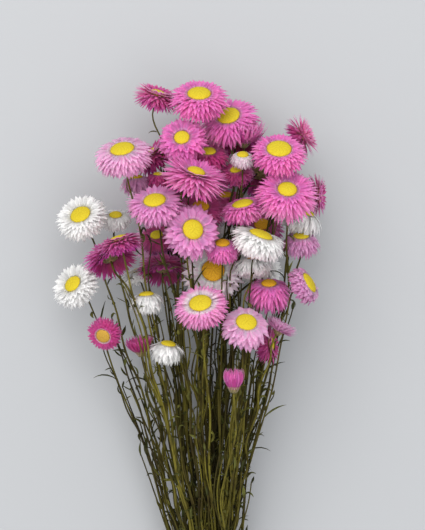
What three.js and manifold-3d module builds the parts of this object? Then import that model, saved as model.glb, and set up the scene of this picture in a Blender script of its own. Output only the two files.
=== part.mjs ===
// Dried paper daisy bunch, tied with a rubber band and lying on a table.
// Millimetres. +Y runs along the stems to the heads, +Z is up, the table is at z = 0.
// All places count from the tie's centre in x and y, until the last step puts the origin under
// the middle of the whole bunch.
import * as THREE from "three";
import { mergeVertices } from "three/addons/utils/BufferGeometryUtils.js";
import Module from "manifold-3d";

const wasm = await Module();
wasm.setup();

const GAP = 0.3; // between pieces that touch
const NECK_GAP = 0.5; // between a head's cup and its stem, which may arrive at a slant

// The bunch's axis
const TIE_HEIGHT = 22.6; // above the table, at the tie
const AXIS_RISE = 0.1; // height gained for each millimetre towards the heads
const CUT_END_Y = -62;
const CUT_END_RAGGED = 7;
const CUT_END_FLARE = 0.5; // how much wider the stems stand at their ends than in the tie

// Stems
const STEM_RADIUS = 1.2; // to the corners
const STEM_SIDES = 4;
const BRANCH_RADIUS = 0.82;
const STEM_PITCH = 2.55; // between the stems of one group, in the tie
const GROUP_COUNT = 6; // round the middle one
const GROUP_RING_RADIUS = 7.9;
const SQUEEZED_RADIUS = 3; // of the mass that a group's stems are pressed into under the band
const SQUEEZED_LENGTH = 9;
const NECK_LENGTH = 8; // of straight stem behind a head
const SPREAD_POWER = 1.3; // over 1: the stems curve outwards

// Tie
const BAND_TURNS = 3;
const BAND_THICKNESS = 2;
const BAND_INNER_RADIUS = GROUP_RING_RADIUS + STEM_PITCH + STEM_RADIUS + GAP;

// Leaves
const LEAF_THICKNESS = 0.8;
const LEAF_STEP = [34, 66]; // along the stem, from one leaf to the next
const LEAF_LENGTH = [9, 21];
const LEAF_WIDTH = [2, 2.6];

// Colours of the bracts, stems and band
const BRACT_COLOURS = {
  white: "#efeee9",
  blush: "#f0c4dd",
  pink: "#e07ab4",
  magenta: "#b23a78",
  mauve: "#c58bb2",
};
const STEM_COLOUR = "#5d5a2e";
const BAND_COLOUR = "#b98d5c";

// The heads. x, y, z: middle of the disc. across: over the bract tips. toward: the way the head
// faces, seen from above, in degrees from +X. lean: from straight up, 90 on edge. lift: of the
// upper bracts out of the head's plane. disc: the yellow disc's share of the width.
const HEADS = [
  { name: "magenta_1", x: -34, y: 370, z: 60, across: 27, toward: 73, lean: 75, lift: 8, disc: 0.4 },
  { name: "pink_1", x: -7, y: 368, z: 78, across: 40, toward: 90, lean: 55, lift: 4, disc: 0.4 },
  { name: "pink_2", x: 12, y: 355, z: 64, across: 35, toward: 105, lean: 45, lift: -5, disc: 0.45 },
  { name: "pink_3", x: -18, y: 340, z: 82, across: 31, toward: 100, lean: 30, lift: 5, disc: 0.34 },
  { name: "blush_1", x: -56, y: 332, z: 85, across: 40, toward: 100, lean: 57, lift: -18, disc: 0.41 },
  { name: "magenta_2", x: -38, y: 332, z: 48, across: 29, toward: 130, lean: 80, lift: 8, disc: 0.4 },
  { name: "mauve_1", x: -48, y: 315, z: 62, across: 22, toward: 95, lean: 78, lift: -30, disc: 0.4 },
  { name: "magenta_3", x: -33, y: 317, z: 64, across: 20, toward: 90, lean: 78, lift: -30, disc: 0.4 },
  { name: "pink_4", x: -9, y: 317, z: 96, across: 41, toward: 72, lean: 68, lift: 15, disc: 0.3 },
  { name: "blush_2", x: -35, y: 299, z: 96, across: 36, toward: 98, lean: 54, lift: -8, disc: 0.42 },
  { name: "white_1", x: -84, y: 291, z: 62, across: 34, toward: 115, lean: 45, lift: 4, disc: 0.42 },
  { name: "white_2", x: -62, y: 291, z: 48, across: 23, toward: 90, lean: 60, lift: -25, disc: 0.39 },
  { name: "magenta_4", x: -58, y: 275, z: 84, across: 30, toward: 105, lean: 85, lift: 5, disc: 0.4 },
  { name: "magenta_5", x: -66, y: 266, z: 60, across: 30, toward: 110, lean: 120, lift: 5, disc: 0.4 },
  { name: "white_3", x: -48, y: 254, z: 38, across: 26, toward: 110, lean: 95, lift: 0, disc: 0.4 },
  { name: "magenta_6", x: -31, y: 259, z: 51.6, across: 28, toward: 90, lean: 115, lift: 5, disc: 0.4 },
  { name: "mauve_2", x: -35, y: 278, z: 50, across: 22, toward: 100, lean: 50, lift: -5, disc: 0.4 },
  { name: "blush_3", x: -11, y: 281, z: 96, across: 37, toward: 45, lean: 20, lift: 4, disc: 0.38 },
  { name: "pink_5", x: 21, y: 297, z: 85, across: 32, toward: 102, lean: 70, lift: -5, disc: 0.45 },
  { name: "pink_6", x: 49, y: 306, z: 95, across: 42, toward: 85, lean: 42, lift: 4, disc: 0.31 },
  { name: "pink_7", x: 44, y: 332, z: 90, across: 37, toward: 88, lean: 48, lift: 2, disc: 0.45 },
  { name: "magenta_7", x: 61, y: 343, z: 60, across: 23, toward: 25, lean: 88, lift: 5, disc: 0.4 },
  { name: "magenta_8", x: 71, y: 304, z: 52, across: 23, toward: 0, lean: 80, lift: 8, disc: 0.4 },
  { name: "white_4", x: 62, y: 292, z: 62, across: 29, toward: 70, lean: 75, lift: -60, disc: 0.4 },
  { name: "mauve_3", x: 59, y: 277, z: 66, across: 27, toward: 90, lean: 65, lift: -32, disc: 0.4 },
  { name: "mauve_4", x: 34, y: 285, z: 48, across: 26, toward: 90, lean: 45, lift: -5, disc: 0.42 },
  { name: "white_5", x: 32, y: 277, z: 98, across: 38, toward: 70, lean: 74, lift: -18, disc: 0.43 },
  { name: "white_6", x: 28, y: 261, z: 72, across: 29, toward: 90, lean: 100, lift: -32, disc: 0.4 },
  { name: "pink_8", x: 8, y: 272, z: 84, across: 28, toward: 90, lean: 62, lift: -34, disc: 0.36 },
  { name: "mauve_5", x: 2, y: 255, z: 67, across: 34, toward: 90, lean: 18, lift: 0, disc: 0.46 },
  { name: "pink_9", x: -6, y: 234, z: 98, across: 35, toward: 100, lean: 47, lift: -4, disc: 0.43 },
  { name: "magenta_9", x: 38, y: 246, z: 72, across: 32, toward: 90, lean: 65, lift: -28, disc: 0.33 },
  { name: "mauve_6", x: 63, y: 247, z: 82, across: 29, toward: 31, lean: 71, lift: -32, disc: 0.5 },
  { name: "mauve_7", x: 23, y: 222, z: 96, across: 32, toward: 80, lean: 42, lift: -30, disc: 0.44 },
  { name: "magenta_10", x: 39, y: 208, z: 68, across: 23, toward: 10, lean: 75, lift: 0, disc: 0.4 },
  { name: "mauve_8", x: 45, y: 218, z: 78, across: 17, toward: 60, lean: 85, lift: 40, disc: 0.36 },
  { name: "pink_10", x: 15, y: 182, z: 94, across: 16, toward: 90, lean: 85, lift: 78, disc: 0.4 },
  { name: "magenta_11", x: -69, y: 213, z: 70, across: 23, toward: 235, lean: 30, lift: 5, disc: 0.42 },
  { name: "magenta_12", x: -45, y: 204, z: 66, across: 17, toward: 100, lean: 80, lift: 60, disc: 0.4 },
  { name: "white_7", x: -41, y: 239, z: 72, across: 26, toward: 95, lean: 80, lift: -64, disc: 0.4 },
  { name: "white_8", x: -27, y: 207, z: 70, across: 26, toward: 80, lean: 75, lift: -52, disc: 0.4 },
  { name: "white_9", x: -89, y: 246, z: 60, across: 32, toward: 135, lean: 45, lift: 4, disc: 0.38 },
  { name: "magenta_13", x: -1, y: 332, z: 62, across: 26, toward: 90, lean: 60, lift: -5, disc: 0.4 },
  { name: "pink_11", x: 22, y: 340, z: 60, across: 20, toward: 90, lean: 80, lift: 55, disc: 0.4 },
  { name: "mauve_9", x: 21, y: 329, z: 80, across: 20, toward: 90, lean: 60, lift: -35, disc: 0.4 },
  { name: "mauve_10", x: 17, y: 320, z: 65, across: 21, toward: 100, lean: 60, lift: 0, disc: 0.4 },
  { name: "mauve_11", x: -6, y: 296, z: 72, across: 29, toward: 90, lean: 50, lift: 0, disc: 0.4 },
  { name: "magenta_14", x: 10, y: 304, z: 44, across: 26, toward: 90, lean: 70, lift: -10, disc: 0.4 },
  // On the side that lies on the table, in pairs whose bracts have grown into each other
  { name: "pink_12", x: -7, y: 315, z: 8, across: 38, toward: 95, lean: 150, lift: 4, disc: 0.4 },
  { name: "pink_13", x: -13, y: 342, z: 15, across: 31, toward: 100, lean: 140, lift: 4, disc: 0.4 },
  { name: "magenta_15", x: 20, y: 346, z: 16.5, across: 30, toward: 70, lean: 135, lift: 4, disc: 0.4 },
  { name: "magenta_16", x: 34, y: 323, z: 8.5, across: 32, toward: 50, lean: 140, lift: 4, disc: 0.4 },
  { name: "blush_4", x: -33, y: 277, z: 5, across: 33, toward: 120, lean: 140, lift: 4, disc: 0.4 },
  { name: "blush_5", x: -39, y: 304, z: 10, across: 33, toward: 130, lean: 135, lift: 4, disc: 0.4 },
  { name: "white_10", x: 10, y: 271, z: 8, across: 35, toward: 90, lean: 148, lift: 4, disc: 0.4 },
  { name: "white_11", x: 34, y: 257, z: 14, across: 30, toward: 60, lean: 140, lift: 4, disc: 0.4 },
];
const GROWN_TOGETHER = [
  ["pink_12", "pink_13"],
  ["magenta_15", "magenta_16"],
  ["blush_4", "blush_5"],
  ["white_10", "white_11"],
];

// Side heads whose stem forks off another head's stem, at a height y above the tie
const FORKS = [
  { head: "magenta_5", from: "magenta_4", y: 236 },
  { head: "mauve_1", from: "magenta_3", y: 286 },
  { head: "magenta_8", from: "white_4", y: 256 },
  { head: "pink_13", from: "pink_12", y: 280 },
  { head: "magenta_16", from: "magenta_15", y: 284 },
  { head: "blush_5", from: "blush_4", y: 244 },
  { head: "white_11", from: "white_10", y: 226 },
];

// A seeded run of random numbers from 0 to 1
function randomRun(seed) {
  let state = seed >>> 0;
  return () => {
    state = (state + 0x6d2b79f5) >>> 0;
    let mixed = state;
    mixed = Math.imul(mixed ^ (mixed >>> 15), mixed | 1);
    mixed ^= mixed + Math.imul(mixed ^ (mixed >>> 7), mixed | 61);
    return ((mixed ^ (mixed >>> 14)) >>> 0) / 4294967296;
  };
}

function between(range, share) {
  return range[0] + (range[1] - range[0]) * share;
}

// Solids

function solidOf(geometry) {
  const bare = geometry.clone();
  bare.deleteAttribute("normal");
  bare.deleteAttribute("uv");
  const merged = mergeVertices(bare, 1e-3);
  return new wasm.Manifold(
    new wasm.Mesh({
      numProp: 3,
      vertProperties: new Float32Array(merged.attributes.position.array),
      triVerts: new Uint32Array(merged.index.array),
    }),
  );
}

// The largest body of a solid: scraps, enclosed hollows and hairline steps are dropped
const HAIRLINE = 0.05;

function largestBody(solid) {
  const largest = (bodies) => bodies.sort((a, b) => b.volume() - a.volume())[0];
  const cleaned = largest(solid.simplify(HAIRLINE).decompose());
  return largest(solidOf(geometryOf(cleaned)).decompose());
}

function geometryOf(solid) {
  const mesh = solid.getMesh();
  const geometry = new THREE.BufferGeometry();
  geometry.setAttribute("position", new THREE.BufferAttribute(mesh.vertProperties, 3));
  geometry.setIndex(new THREE.BufferAttribute(mesh.triVerts, 1));
  return geometry;
}

// Everything below the table's surface, cut off flat
const belowTable = (() => {
  const block = new THREE.BoxGeometry(600, 900, 100);
  block.translate(0, 150, -50);
  return solidOf(block);
})();

function restedOnTable(solid) {
  return largestBody(solid.subtract(belowTable));
}

function meshOf(name, solid, colour, roughness) {
  const material = new THREE.MeshStandardMaterial({ color: colour, roughness, metalness: 0 });
  const mesh = new THREE.Mesh(geometryOf(solid), material);
  mesh.name = name;
  return mesh;
}

// Heads

const DISC_DOME = 0.1; // of the head's radius
const BRACT_ROOT = 0.08; // outside the disc's rim, as a share of the radius
const BRACT_BASE_THICKNESS = 0.15;
const CUP_RADIUS = 1.7;
const CUP_DEPTH = 3;
const CUP_DEPTH_SHARE = 0.2;

// How far below the disc's middle the head's cup ends
function cupDepth(head) {
  return CUP_DEPTH + (CUP_DEPTH_SHARE * head.across) / 2;
}

// The head's place: its own +Z is the way it faces
function headMatrix(head) {
  const toward = THREE.MathUtils.degToRad(head.toward);
  const lean = THREE.MathUtils.degToRad(head.lean);
  const facing = new THREE.Vector3(
    Math.sin(lean) * Math.cos(toward),
    Math.sin(lean) * Math.sin(toward),
    Math.cos(lean),
  );
  const turn = new THREE.Quaternion().setFromUnitVectors(new THREE.Vector3(0, 0, 1), facing);
  const place = new THREE.Vector3(head.x, head.y, head.z);
  const matrix = new THREE.Matrix4().compose(place, turn, new THREE.Vector3(1, 1, 1));
  return { matrix, facing, place };
}

// How many bracts the outline shows: fewer on small heads
function bractCount(head) {
  return head.across > 30 ? 20 : head.across > 22 ? 18 : 14;
}

// A ring of points round the head's axis: radius and height as functions of the point's number
function ringOf(count, radiusAt, heightAt, turn = 0) {
  const ring = [];
  for (let i = 0; i < count; i++) {
    const angle = ((i + turn) / count) * 2 * Math.PI;
    const radius = radiusAt(i);
    ring.push([radius * Math.cos(angle), radius * Math.sin(angle), heightAt(i)]);
  }
  return ring;
}

// One closed surface: the disc's dome, two alternating rows of bracts, an upper and a lower one,
// their underside and the scaly cup down to the stem.
function headGeometry(head, seed) {
  const random = randomRun(seed);
  const radius = head.across / 2;
  const count = bractCount(head);
  const half = count / 2;
  const lift = THREE.MathUtils.degToRad(head.lift);
  const drop = lift - THREE.MathUtils.degToRad(10 + 14 * Math.cos(lift) ** 2);
  const root = radius * (head.disc + BRACT_ROOT);
  const rootHeight = -0.02 * radius;
  const reach = radius * (1 - head.disc - BRACT_ROOT);
  const tips = [];
  for (let i = 0; i < count; i++) {
    const rise = (i % 2 ? drop : lift) + (random() - 0.5) * 0.2;
    const length = reach * (1 - 0.1 * random());
    tips.push({ out: length * Math.cos(rise), up: length * Math.sin(rise) });
  }
  const outline = ringOf(
    2 * count,
    (i) => {
      const tip = tips[i >> 1];
      const next = tips[((i >> 1) + 1) % count];
      return root + (i % 2 ? 0.29 * (tip.out + next.out) : tip.out);
    },
    (i) => {
      const tip = tips[i >> 1];
      const next = tips[((i >> 1) + 1) % count];
      return rootHeight + (i % 2 ? 0.29 * (tip.up + next.up) - 0.02 * radius : tip.up);
    },
  );
  const middle = (lift + drop) / 2;
  const thickness = BRACT_BASE_THICKNESS * radius;
  const rings = [
    ringOf(half, () => radius * head.disc, () => 0.02 * radius),
    ringOf(count, () => root, (i) => rootHeight - (i % 2 ? 0.05 * radius : 0)),
    outline,
    ringOf(
      count,
      () => root + thickness * Math.sin(middle),
      () => rootHeight - thickness * Math.cos(middle) - 0.03 * radius,
    ),
    ringOf(half, () => CUP_RADIUS, () => -cupDepth(head)),
  ];
  const points = [[0, 0, DISC_DOME * radius]];
  const firsts = rings.map((ring) => {
    const first = points.length;
    points.push(...ring);
    return first;
  });
  points.push([0, 0, -cupDepth(head)]);
  const faces = [];
  // Between a ring and one of twice as many points; flip turns the faces to the other side
  const stitch = (small, large, flip) => {
    const n = rings[small].length;
    for (let i = 0; i < n; i++) {
      const a = firsts[small] + i;
      const b = firsts[small] + ((i + 1) % n);
      const c = firsts[large] + 2 * i;
      const d = firsts[large] + 2 * i + 1;
      const e = firsts[large] + ((2 * i + 2) % (2 * n));
      for (const face of [[a, c, d], [a, d, b], [b, d, e]]) {
        faces.push(...(flip ? face.reverse() : face));
      }
    }
  };
  for (let i = 0; i < half; i++) {
    const next = (i + 1) % half;
    faces.push(0, firsts[0] + i, firsts[0] + next);
    faces.push(points.length - 1, firsts[4] + next, firsts[4] + i);
  }
  stitch(0, 1, false);
  stitch(1, 2, false);
  stitch(3, 2, true);
  stitch(4, 3, true);
  const geometry = new THREE.BufferGeometry();
  geometry.setAttribute("position", new THREE.Float32BufferAttribute(points.flat(), 3));
  geometry.setIndex(faces);
  return geometry;
}

const heads = new Map();
HEADS.forEach((head, index) => {
  const { matrix, facing, place } = headMatrix(head);
  const geometry = headGeometry(head, index + 1);
  geometry.applyMatrix4(matrix);
  const cupEnd = place.clone().addScaledVector(facing, -cupDepth(head) - NECK_GAP);
  const neck = cupEnd.clone().addScaledVector(facing, -NECK_LENGTH);
  heads.set(head.name, { ...head, index, facing, place, cupEnd, neck, solid: solidOf(geometry) });
});

// Stems

function axisHeight(y) {
  return TIE_HEIGHT + AXIS_RISE * y;
}

const SQUEEZED_Y = 6; // the stems run straight this far both ways through the tie
const LEVEL_STEP = 8; // between the levels at which the stems push each other apart

const forked = new Set(FORKS.map((fork) => fork.head));
const stems = [...heads.values()]
  .filter((head) => !forked.has(head.name))
  .map((head) => {
    const x = head.neck.x;
    const z = head.neck.z - axisHeight(head.neck.y);
    return { head, angle: Math.atan2(z, x), offset: Math.hypot(x, z) };
  });

// The stems that end nearest the axis are the middle group, the others go round it by angle.
// In a group one stem is in the middle and the others round it, each towards its own head.
stems.sort((a, b) => a.offset - b.offset);
const middleCount = stems.length - 7 * GROUP_COUNT > 0 ? stems.length - 7 * GROUP_COUNT : 5;
const outerStems = stems.slice(middleCount).sort((a, b) => a.angle - b.angle);
const groups = [stems.slice(0, middleCount)];
for (let i = 0; i < GROUP_COUNT; i++) {
  const from = Math.round((i * outerStems.length) / GROUP_COUNT);
  const to = Math.round(((i + 1) * outerStems.length) / GROUP_COUNT);
  groups.push(outerStems.slice(from, to));
}
function groupCentre(number) {
  const turn = ((number - 0.5) / GROUP_COUNT) * 2 * Math.PI - Math.PI;
  const radius = number === 0 ? 0 : GROUP_RING_RADIUS;
  return [radius * Math.cos(turn), radius * Math.sin(turn)];
}

groups.forEach((group, number) => {
  const centre = groupCentre(number);
  const meanX = group.reduce((sum, stem) => sum + stem.offset * Math.cos(stem.angle), 0) / group.length;
  const meanZ = group.reduce((sum, stem) => sum + stem.offset * Math.sin(stem.angle), 0) / group.length;
  for (const stem of group) {
    const x = stem.offset * Math.cos(stem.angle) - meanX;
    const z = stem.offset * Math.sin(stem.angle) - meanZ;
    stem.around = Math.atan2(z, x);
    stem.out = Math.hypot(x, z);
    stem.group = number;
  }
  const [inner, ...ring] = [...group].sort((a, b) => a.out - b.out);
  inner.slot = centre;
  ring.sort((a, b) => a.around - b.around);
  ring.forEach((stem, place) => {
    const angle = ring[0].around + (place / ring.length) * 2 * Math.PI;
    stem.slot = [centre[0] + STEM_PITCH * Math.cos(angle), centre[1] + STEM_PITCH * Math.sin(angle)];
  });
});

// A stem at the levels above the tie, from its slot there to the head's neck
for (const stem of stems) {
  const { neck } = stem.head;
  const reach = neck.y - SQUEEZED_Y;
  stem.levels = [];
  for (let y = SQUEEZED_Y; y < neck.y - LEVEL_STEP; y += LEVEL_STEP) {
    const share = ((y - SQUEEZED_Y) / reach) ** SPREAD_POWER;
    const x = stem.slot[0] + (neck.x - stem.slot[0]) * share;
    const offset = stem.slot[1] + (neck.z - axisHeight(neck.y) - stem.slot[1]) * share;
    stem.levels.push({ x, y, z: axisHeight(y) + offset, shiftX: 0, shiftZ: 0 });
  }
  stem.levels.push({ x: neck.x, y: neck.y, z: neck.z, shiftX: 0, shiftZ: 0 });
}

// The stems push each other apart level by level and bend clear of the heads. Each shift is
// shared with the levels above and below, so the stems stay smooth.
const APART = 3.1; // between the middles of two stems
const HEAD_MARGIN = 2.6; // from a head's skin to the middle of a stem
const ROUNDS = 240;
const STIFFNESS = 0.35;

function pushFromHead(head, x, y, z) {
  const away = new THREE.Vector3(x, y, z).sub(head.place);
  away.addScaledVector(head.facing, head.push.back);
  const along = away.dot(head.facing);
  const across = away.clone().addScaledVector(head.facing, -along);
  const inside = (along / head.push.thick) ** 2 + across.lengthSq() / head.push.wide ** 2;
  if (inside >= 1) return null;
  const way = across
    .divideScalar(head.push.wide ** 2)
    .addScaledVector(head.facing, along / head.push.thick ** 2);
  const size = Math.hypot(way.x, way.z);
  if (size < 1e-9) return null;
  const depth = (1 - Math.sqrt(inside)) * head.push.thick;
  return [(way.x / size) * depth, (way.z / size) * depth];
}

for (const head of heads.values()) {
  const radius = head.across / 2;
  const rise = Math.sin(THREE.MathUtils.degToRad(head.lift));
  const width = Math.cos(THREE.MathUtils.degToRad(Math.min(0, head.lift) * 0.8));
  head.push = {
    back: radius * (0.2 - 0.35 * rise),
    thick: radius * (0.3 + 0.4 * Math.abs(rise)) + HEAD_MARGIN,
    wide: radius * Math.max(width, 0.5) + HEAD_MARGIN,
  };
}

for (let round = 0; round < ROUNDS; round++) {
  const moves = stems.map((stem) => stem.levels.map(() => [0, 0]));
  stems.forEach((stem, s) => {
    const neckLevel = stem.levels.length - 1;
    for (let k = 1; k <= neckLevel; k++) {
      const here = stem.levels[k];
      const x = here.x + here.shiftX;
      const z = here.z + here.shiftZ;
      stems.forEach((other, o) => {
        if (o <= s || k === neckLevel || k >= other.levels.length - 1) return;
        const there = other.levels[k];
        const dx = x - there.x - there.shiftX;
        const dz = z - there.z - there.shiftZ;
        const distance = Math.hypot(dx, dz) + 1e-6;
        const apart = STEM_PITCH + (APART - STEM_PITCH) * Math.min(1, k / 4);
        if (distance >= apart) return;
        const push = (0.5 * (apart - distance)) / distance;
        moves[s][k][0] += dx * push;
        moves[s][k][1] += dz * push;
        moves[o][k][0] -= dx * push;
        moves[o][k][1] -= dz * push;
      });
      for (const head of heads.values()) {
        if (k === neckLevel && head.name === stem.head.name) continue;
        const push = pushFromHead(head, x, here.y, z);
        if (push) {
          moves[s][k][0] += push[0];
          moves[s][k][1] += push[1];
        }
      }
      if (z < STEM_RADIUS) moves[s][k][1] += STEM_RADIUS - z;
    }
  });
  stems.forEach((stem, s) => {
    const old = stem.levels.map((level) => [level.shiftX, level.shiftZ]);
    for (let k = 1; k < stem.levels.length; k++) {
      const level = stem.levels[k];
      const below = old[k - 1];
      const above = k + 1 < old.length ? old[k + 1] : [0, 0];
      level.shiftX += STIFFNESS * ((below[0] + above[0]) / 2 - old[k][0]) + 0.5 * moves[s][k][0];
      level.shiftZ += STIFFNESS * ((below[1] + above[1]) / 2 - old[k][1]) + 0.5 * moves[s][k][1];
    }
  });
}

// The same line with fewer points, none of the others further from it than the tolerance
function simplified(points, tolerance) {
  const first = points[0];
  const last = points[points.length - 1];
  const line = new THREE.Line3(first, last);
  const near = new THREE.Vector3();
  let worst = 0;
  let at = 0;
  for (let i = 1; i < points.length - 1; i++) {
    line.closestPointToPoint(points[i], true, near);
    const distance = near.distanceTo(points[i]);
    if (distance > worst) {
      worst = distance;
      at = i;
    }
  }
  if (worst <= tolerance) return [first, last];
  const before = simplified(points.slice(0, at + 1), tolerance);
  return [...before.slice(0, -1), ...simplified(points.slice(at), tolerance)];
}

// The corners of a stem's section stand in these directions, square to the way the stem runs
const SECTION_TURN = new THREE.Vector3(0.35, 0, -0.94);

function sectionFrame(along) {
  const normal = SECTION_TURN.clone().addScaledVector(along, -SECTION_TURN.dot(along)).normalize();
  return { normal, binormal: new THREE.Vector3().crossVectors(along, normal) };
}

// A curve that is sampled at its own points, however far apart they are
class PointedCurve extends THREE.CatmullRomCurve3 {
  computeFrenetFrames(segments) {
    const tangents = [];
    const normals = [];
    const binormals = [];
    for (let i = 0; i <= segments; i++) {
      const tangent = this.getTangent(i / segments).normalize();
      const frame = sectionFrame(tangent);
      tangents.push(tangent);
      normals.push(frame.normal);
      binormals.push(frame.binormal);
    }
    return { tangents, normals, binormals };
  }

  getPointAt(share, target) {
    return this.getPoint(share, target);
  }

  getTangentAt(share, target) {
    return this.getTangent(share, target);
  }
}

function polygonOf(sides, radius) {
  const corners = [];
  for (let i = 0; i < sides; i++) {
    const angle = (i / sides) * 2 * Math.PI;
    corners.push(new THREE.Vector2(radius * Math.cos(angle), radius * Math.sin(angle)));
  }
  return new THREE.Shape(corners);
}

function tubeAlong(points, radius) {
  const geometry = new THREE.ExtrudeGeometry(polygonOf(STEM_SIDES, radius), {
    steps: points.length - 1,
    extrudePath: new PointedCurve(points),
    bevelEnabled: false,
  });
  return solidOf(geometry);
}

const BEND_TOLERANCE = 0.42; // how far a stem's straight runs may leave its curve
const endRandom = randomRun(77);
for (const stem of stems) {
  const { cupEnd } = stem.head;
  const [slotX, slotZ] = stem.slot;
  const endY = CUT_END_Y + CUT_END_RAGGED * endRandom();
  const flare = 1 + CUT_END_FLARE * (endY / CUT_END_Y);
  const end = new THREE.Vector3(slotX * flare, endY, axisHeight(endY) + slotZ * flare);
  const throughTie = new THREE.Vector3(slotX, -SQUEEZED_Y, axisHeight(0) + slotZ);
  const above = stem.levels.map(
    (level) => new THREE.Vector3(level.x + level.shiftX, level.y, level.z + level.shiftZ),
  );
  above[0].set(slotX, SQUEEZED_Y, axisHeight(0) + slotZ);
  stem.path = [end, throughTie, ...simplified(above, BEND_TOLERANCE), cupEnd];
  stem.fine = [end, throughTie, ...above, cupEnd];
  stem.radius = STEM_RADIUS;
}

const stemOf = new Map(stems.map((stem) => [stem.head.name, stem]));

// The point of a stem at a height y above the tie, and the next point of its line
function pointAtY(path, y) {
  for (let i = 1; i < path.length; i++) {
    if (path[i].y >= y && path[i - 1].y < y) {
      const share = (y - path[i - 1].y) / (path[i].y - path[i - 1].y);
      return path[i - 1].clone().lerp(path[i], share);
    }
  }
  return path[path.length - 1].clone();
}

const BRANCH_BOW = 0.06; // of a branch's length, upwards at its middle
const branches = FORKS.map((fork) => {
  const host = stemOf.get(fork.from);
  const head = heads.get(fork.head);
  const root = pointAtY(host.path, fork.y);
  const straight = head.neck.clone().sub(root);
  const bend = root.clone().addScaledVector(straight, 0.5);
  bend.y += BRANCH_BOW * straight.length();
  const path = [root, bend, head.neck, head.cupEnd];
  return { group: host.group, path, fine: path, head, radius: BRANCH_RADIUS };
});

// Under the band the stems of a group are one pressed mass
function squeezedMass([x, z]) {
  const mass = new THREE.CylinderGeometry(SQUEEZED_RADIUS, SQUEEZED_RADIUS, SQUEEZED_LENGTH, 6);
  mass.translate(x, 0, axisHeight(0) + z);
  return solidOf(mass);
}

// Leaves: a narrow blade, three-sided, that curls away from the stem it grows on

function leafGeometry(root, along, out, length, width, curl) {
  const side = new THREE.Vector3().crossVectors(along, out).normalize();
  const points = [];
  const stations = [
    { share: 0, width: 0.3, thickness: 0.6 },
    { share: 0.35, width: 1, thickness: 1 },
    { share: 0.72, width: 0.8, thickness: 1 },
  ];
  const middleAt = (share) => {
    const bend = 0.45 + curl * share;
    const outward = Math.sin(bend) * share;
    const forward = Math.cos(bend) * share;
    return root.clone().addScaledVector(out, length * outward).addScaledVector(along, length * forward);
  };
  for (const station of stations) {
    const middle = middleAt(station.share);
    const bend = 0.45 + curl * station.share;
    const under = out.clone().multiplyScalar(Math.cos(bend)).addScaledVector(along, -Math.sin(bend));
    const halfWidth = (station.width * width) / 2;
    points.push(middle.clone().addScaledVector(side, halfWidth));
    points.push(middle.clone().addScaledVector(side, -halfWidth));
    points.push(middle.clone().addScaledVector(under, station.thickness * LEAF_THICKNESS));
  }
  points.push(middleAt(1));
  const faces = [0, 2, 1];
  for (let s = 0; s < 2; s++) {
    for (let i = 0; i < 3; i++) {
      const a = 3 * s + i;
      const b = 3 * s + ((i + 1) % 3);
      faces.push(a, b, a + 3, b, b + 3, a + 3);
    }
  }
  for (let i = 0; i < 3; i++) faces.push(6 + i, 6 + ((i + 1) % 3), 9);
  const geometry = new THREE.BufferGeometry();
  const numbers = points.flatMap((point) => point.toArray());
  geometry.setAttribute("position", new THREE.Float32BufferAttribute(numbers, 3));
  geometry.setIndex(faces);
  return { geometry, tips: [middleAt(0.5), middleAt(0.8), middleAt(1)] };
}

const LEAF_MARGIN = 2.4; // from a leaf's middle line to the middle of another stem
const LEAVES_APART = 3.5;
const leafRandom = randomRun(5);
const leaves = [];
const allPaths = [...stems, ...branches];

function clearOfOthers(point, own) {
  if (point.z < 1.5) return false;
  const nearest = new THREE.Vector3();
  for (const other of allPaths) {
    if (other === own) continue;
    for (let i = 1; i < other.fine.length; i++) {
      if (Math.abs(other.fine[i].y - point.y) > 60) continue;
      new THREE.Line3(other.fine[i - 1], other.fine[i]).closestPointToPoint(point, true, nearest);
      if (nearest.distanceTo(point) < LEAF_MARGIN) return false;
    }
  }
  for (const head of heads.values()) {
    if (pushFromHead(head, point.x, point.y, point.z)) return false;
  }
  return leaves.every((leaf) => leaf.tips.every((tip) => tip.distanceTo(point) > LEAVES_APART));
}

for (const stem of stems) {
  let y = 22 + 40 * leafRandom();
  const top = stem.head.neck.y - 20;
  while (y < top) {
    const root = pointAtY(stem.path, y);
    const along = pointAtY(stem.path, y + 4).sub(root).normalize();
    const { normal, binormal } = sectionFrame(along);
    const out = normal.multiplyScalar(leafRandom() < 0.5 ? 1 : -1);
    out.addScaledVector(binormal, leafRandom() < 0.5 ? 1 : -1).normalize();
    const length = between(LEAF_LENGTH, leafRandom());
    const width = between(LEAF_WIDTH, leafRandom());
    const curl = 0.2 + 0.9 * leafRandom();
    const leaf = leafGeometry(root, along, out, length, width, curl);
    if (leaf.tips.every((tip) => clearOfOthers(tip, stem))) {
      leaves.push({ group: stem.group, tips: leaf.tips, solid: solidOf(leaf.geometry) });
    }
    y += between(LEAF_STEP, leafRandom());
  }
}

// Tie

// A rubber band wound in turns side by side: one closed ring with a groove between turns
function bandGeometry() {
  const pitch = 0.9 * BAND_THICKNESS;
  const profile = [];
  const steps = 2;
  const width = pitch * BAND_TURNS;
  profile.push(new THREE.Vector2(BAND_INNER_RADIUS, -width / 2));
  for (let turn = 0; turn < BAND_TURNS; turn++) {
    for (let i = 0; i <= steps; i++) {
      if (turn > 0 && i === 0) continue;
      const share = i / steps;
      const bulge = 0.5 + 0.5 * Math.sin(Math.PI * share);
      const y = -width / 2 + pitch * (turn + share);
      profile.push(new THREE.Vector2(BAND_INNER_RADIUS + BAND_THICKNESS * bulge, y));
    }
  }
  profile.push(new THREE.Vector2(BAND_INNER_RADIUS, width / 2));
  profile.push(profile[0].clone());
  return new THREE.LatheGeometry(profile, 18);
}

// The bunch

const bunch = new THREE.Group();

function colourOf(name) {
  return BRACT_COLOURS[name.split("_")[0]];
}

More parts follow.
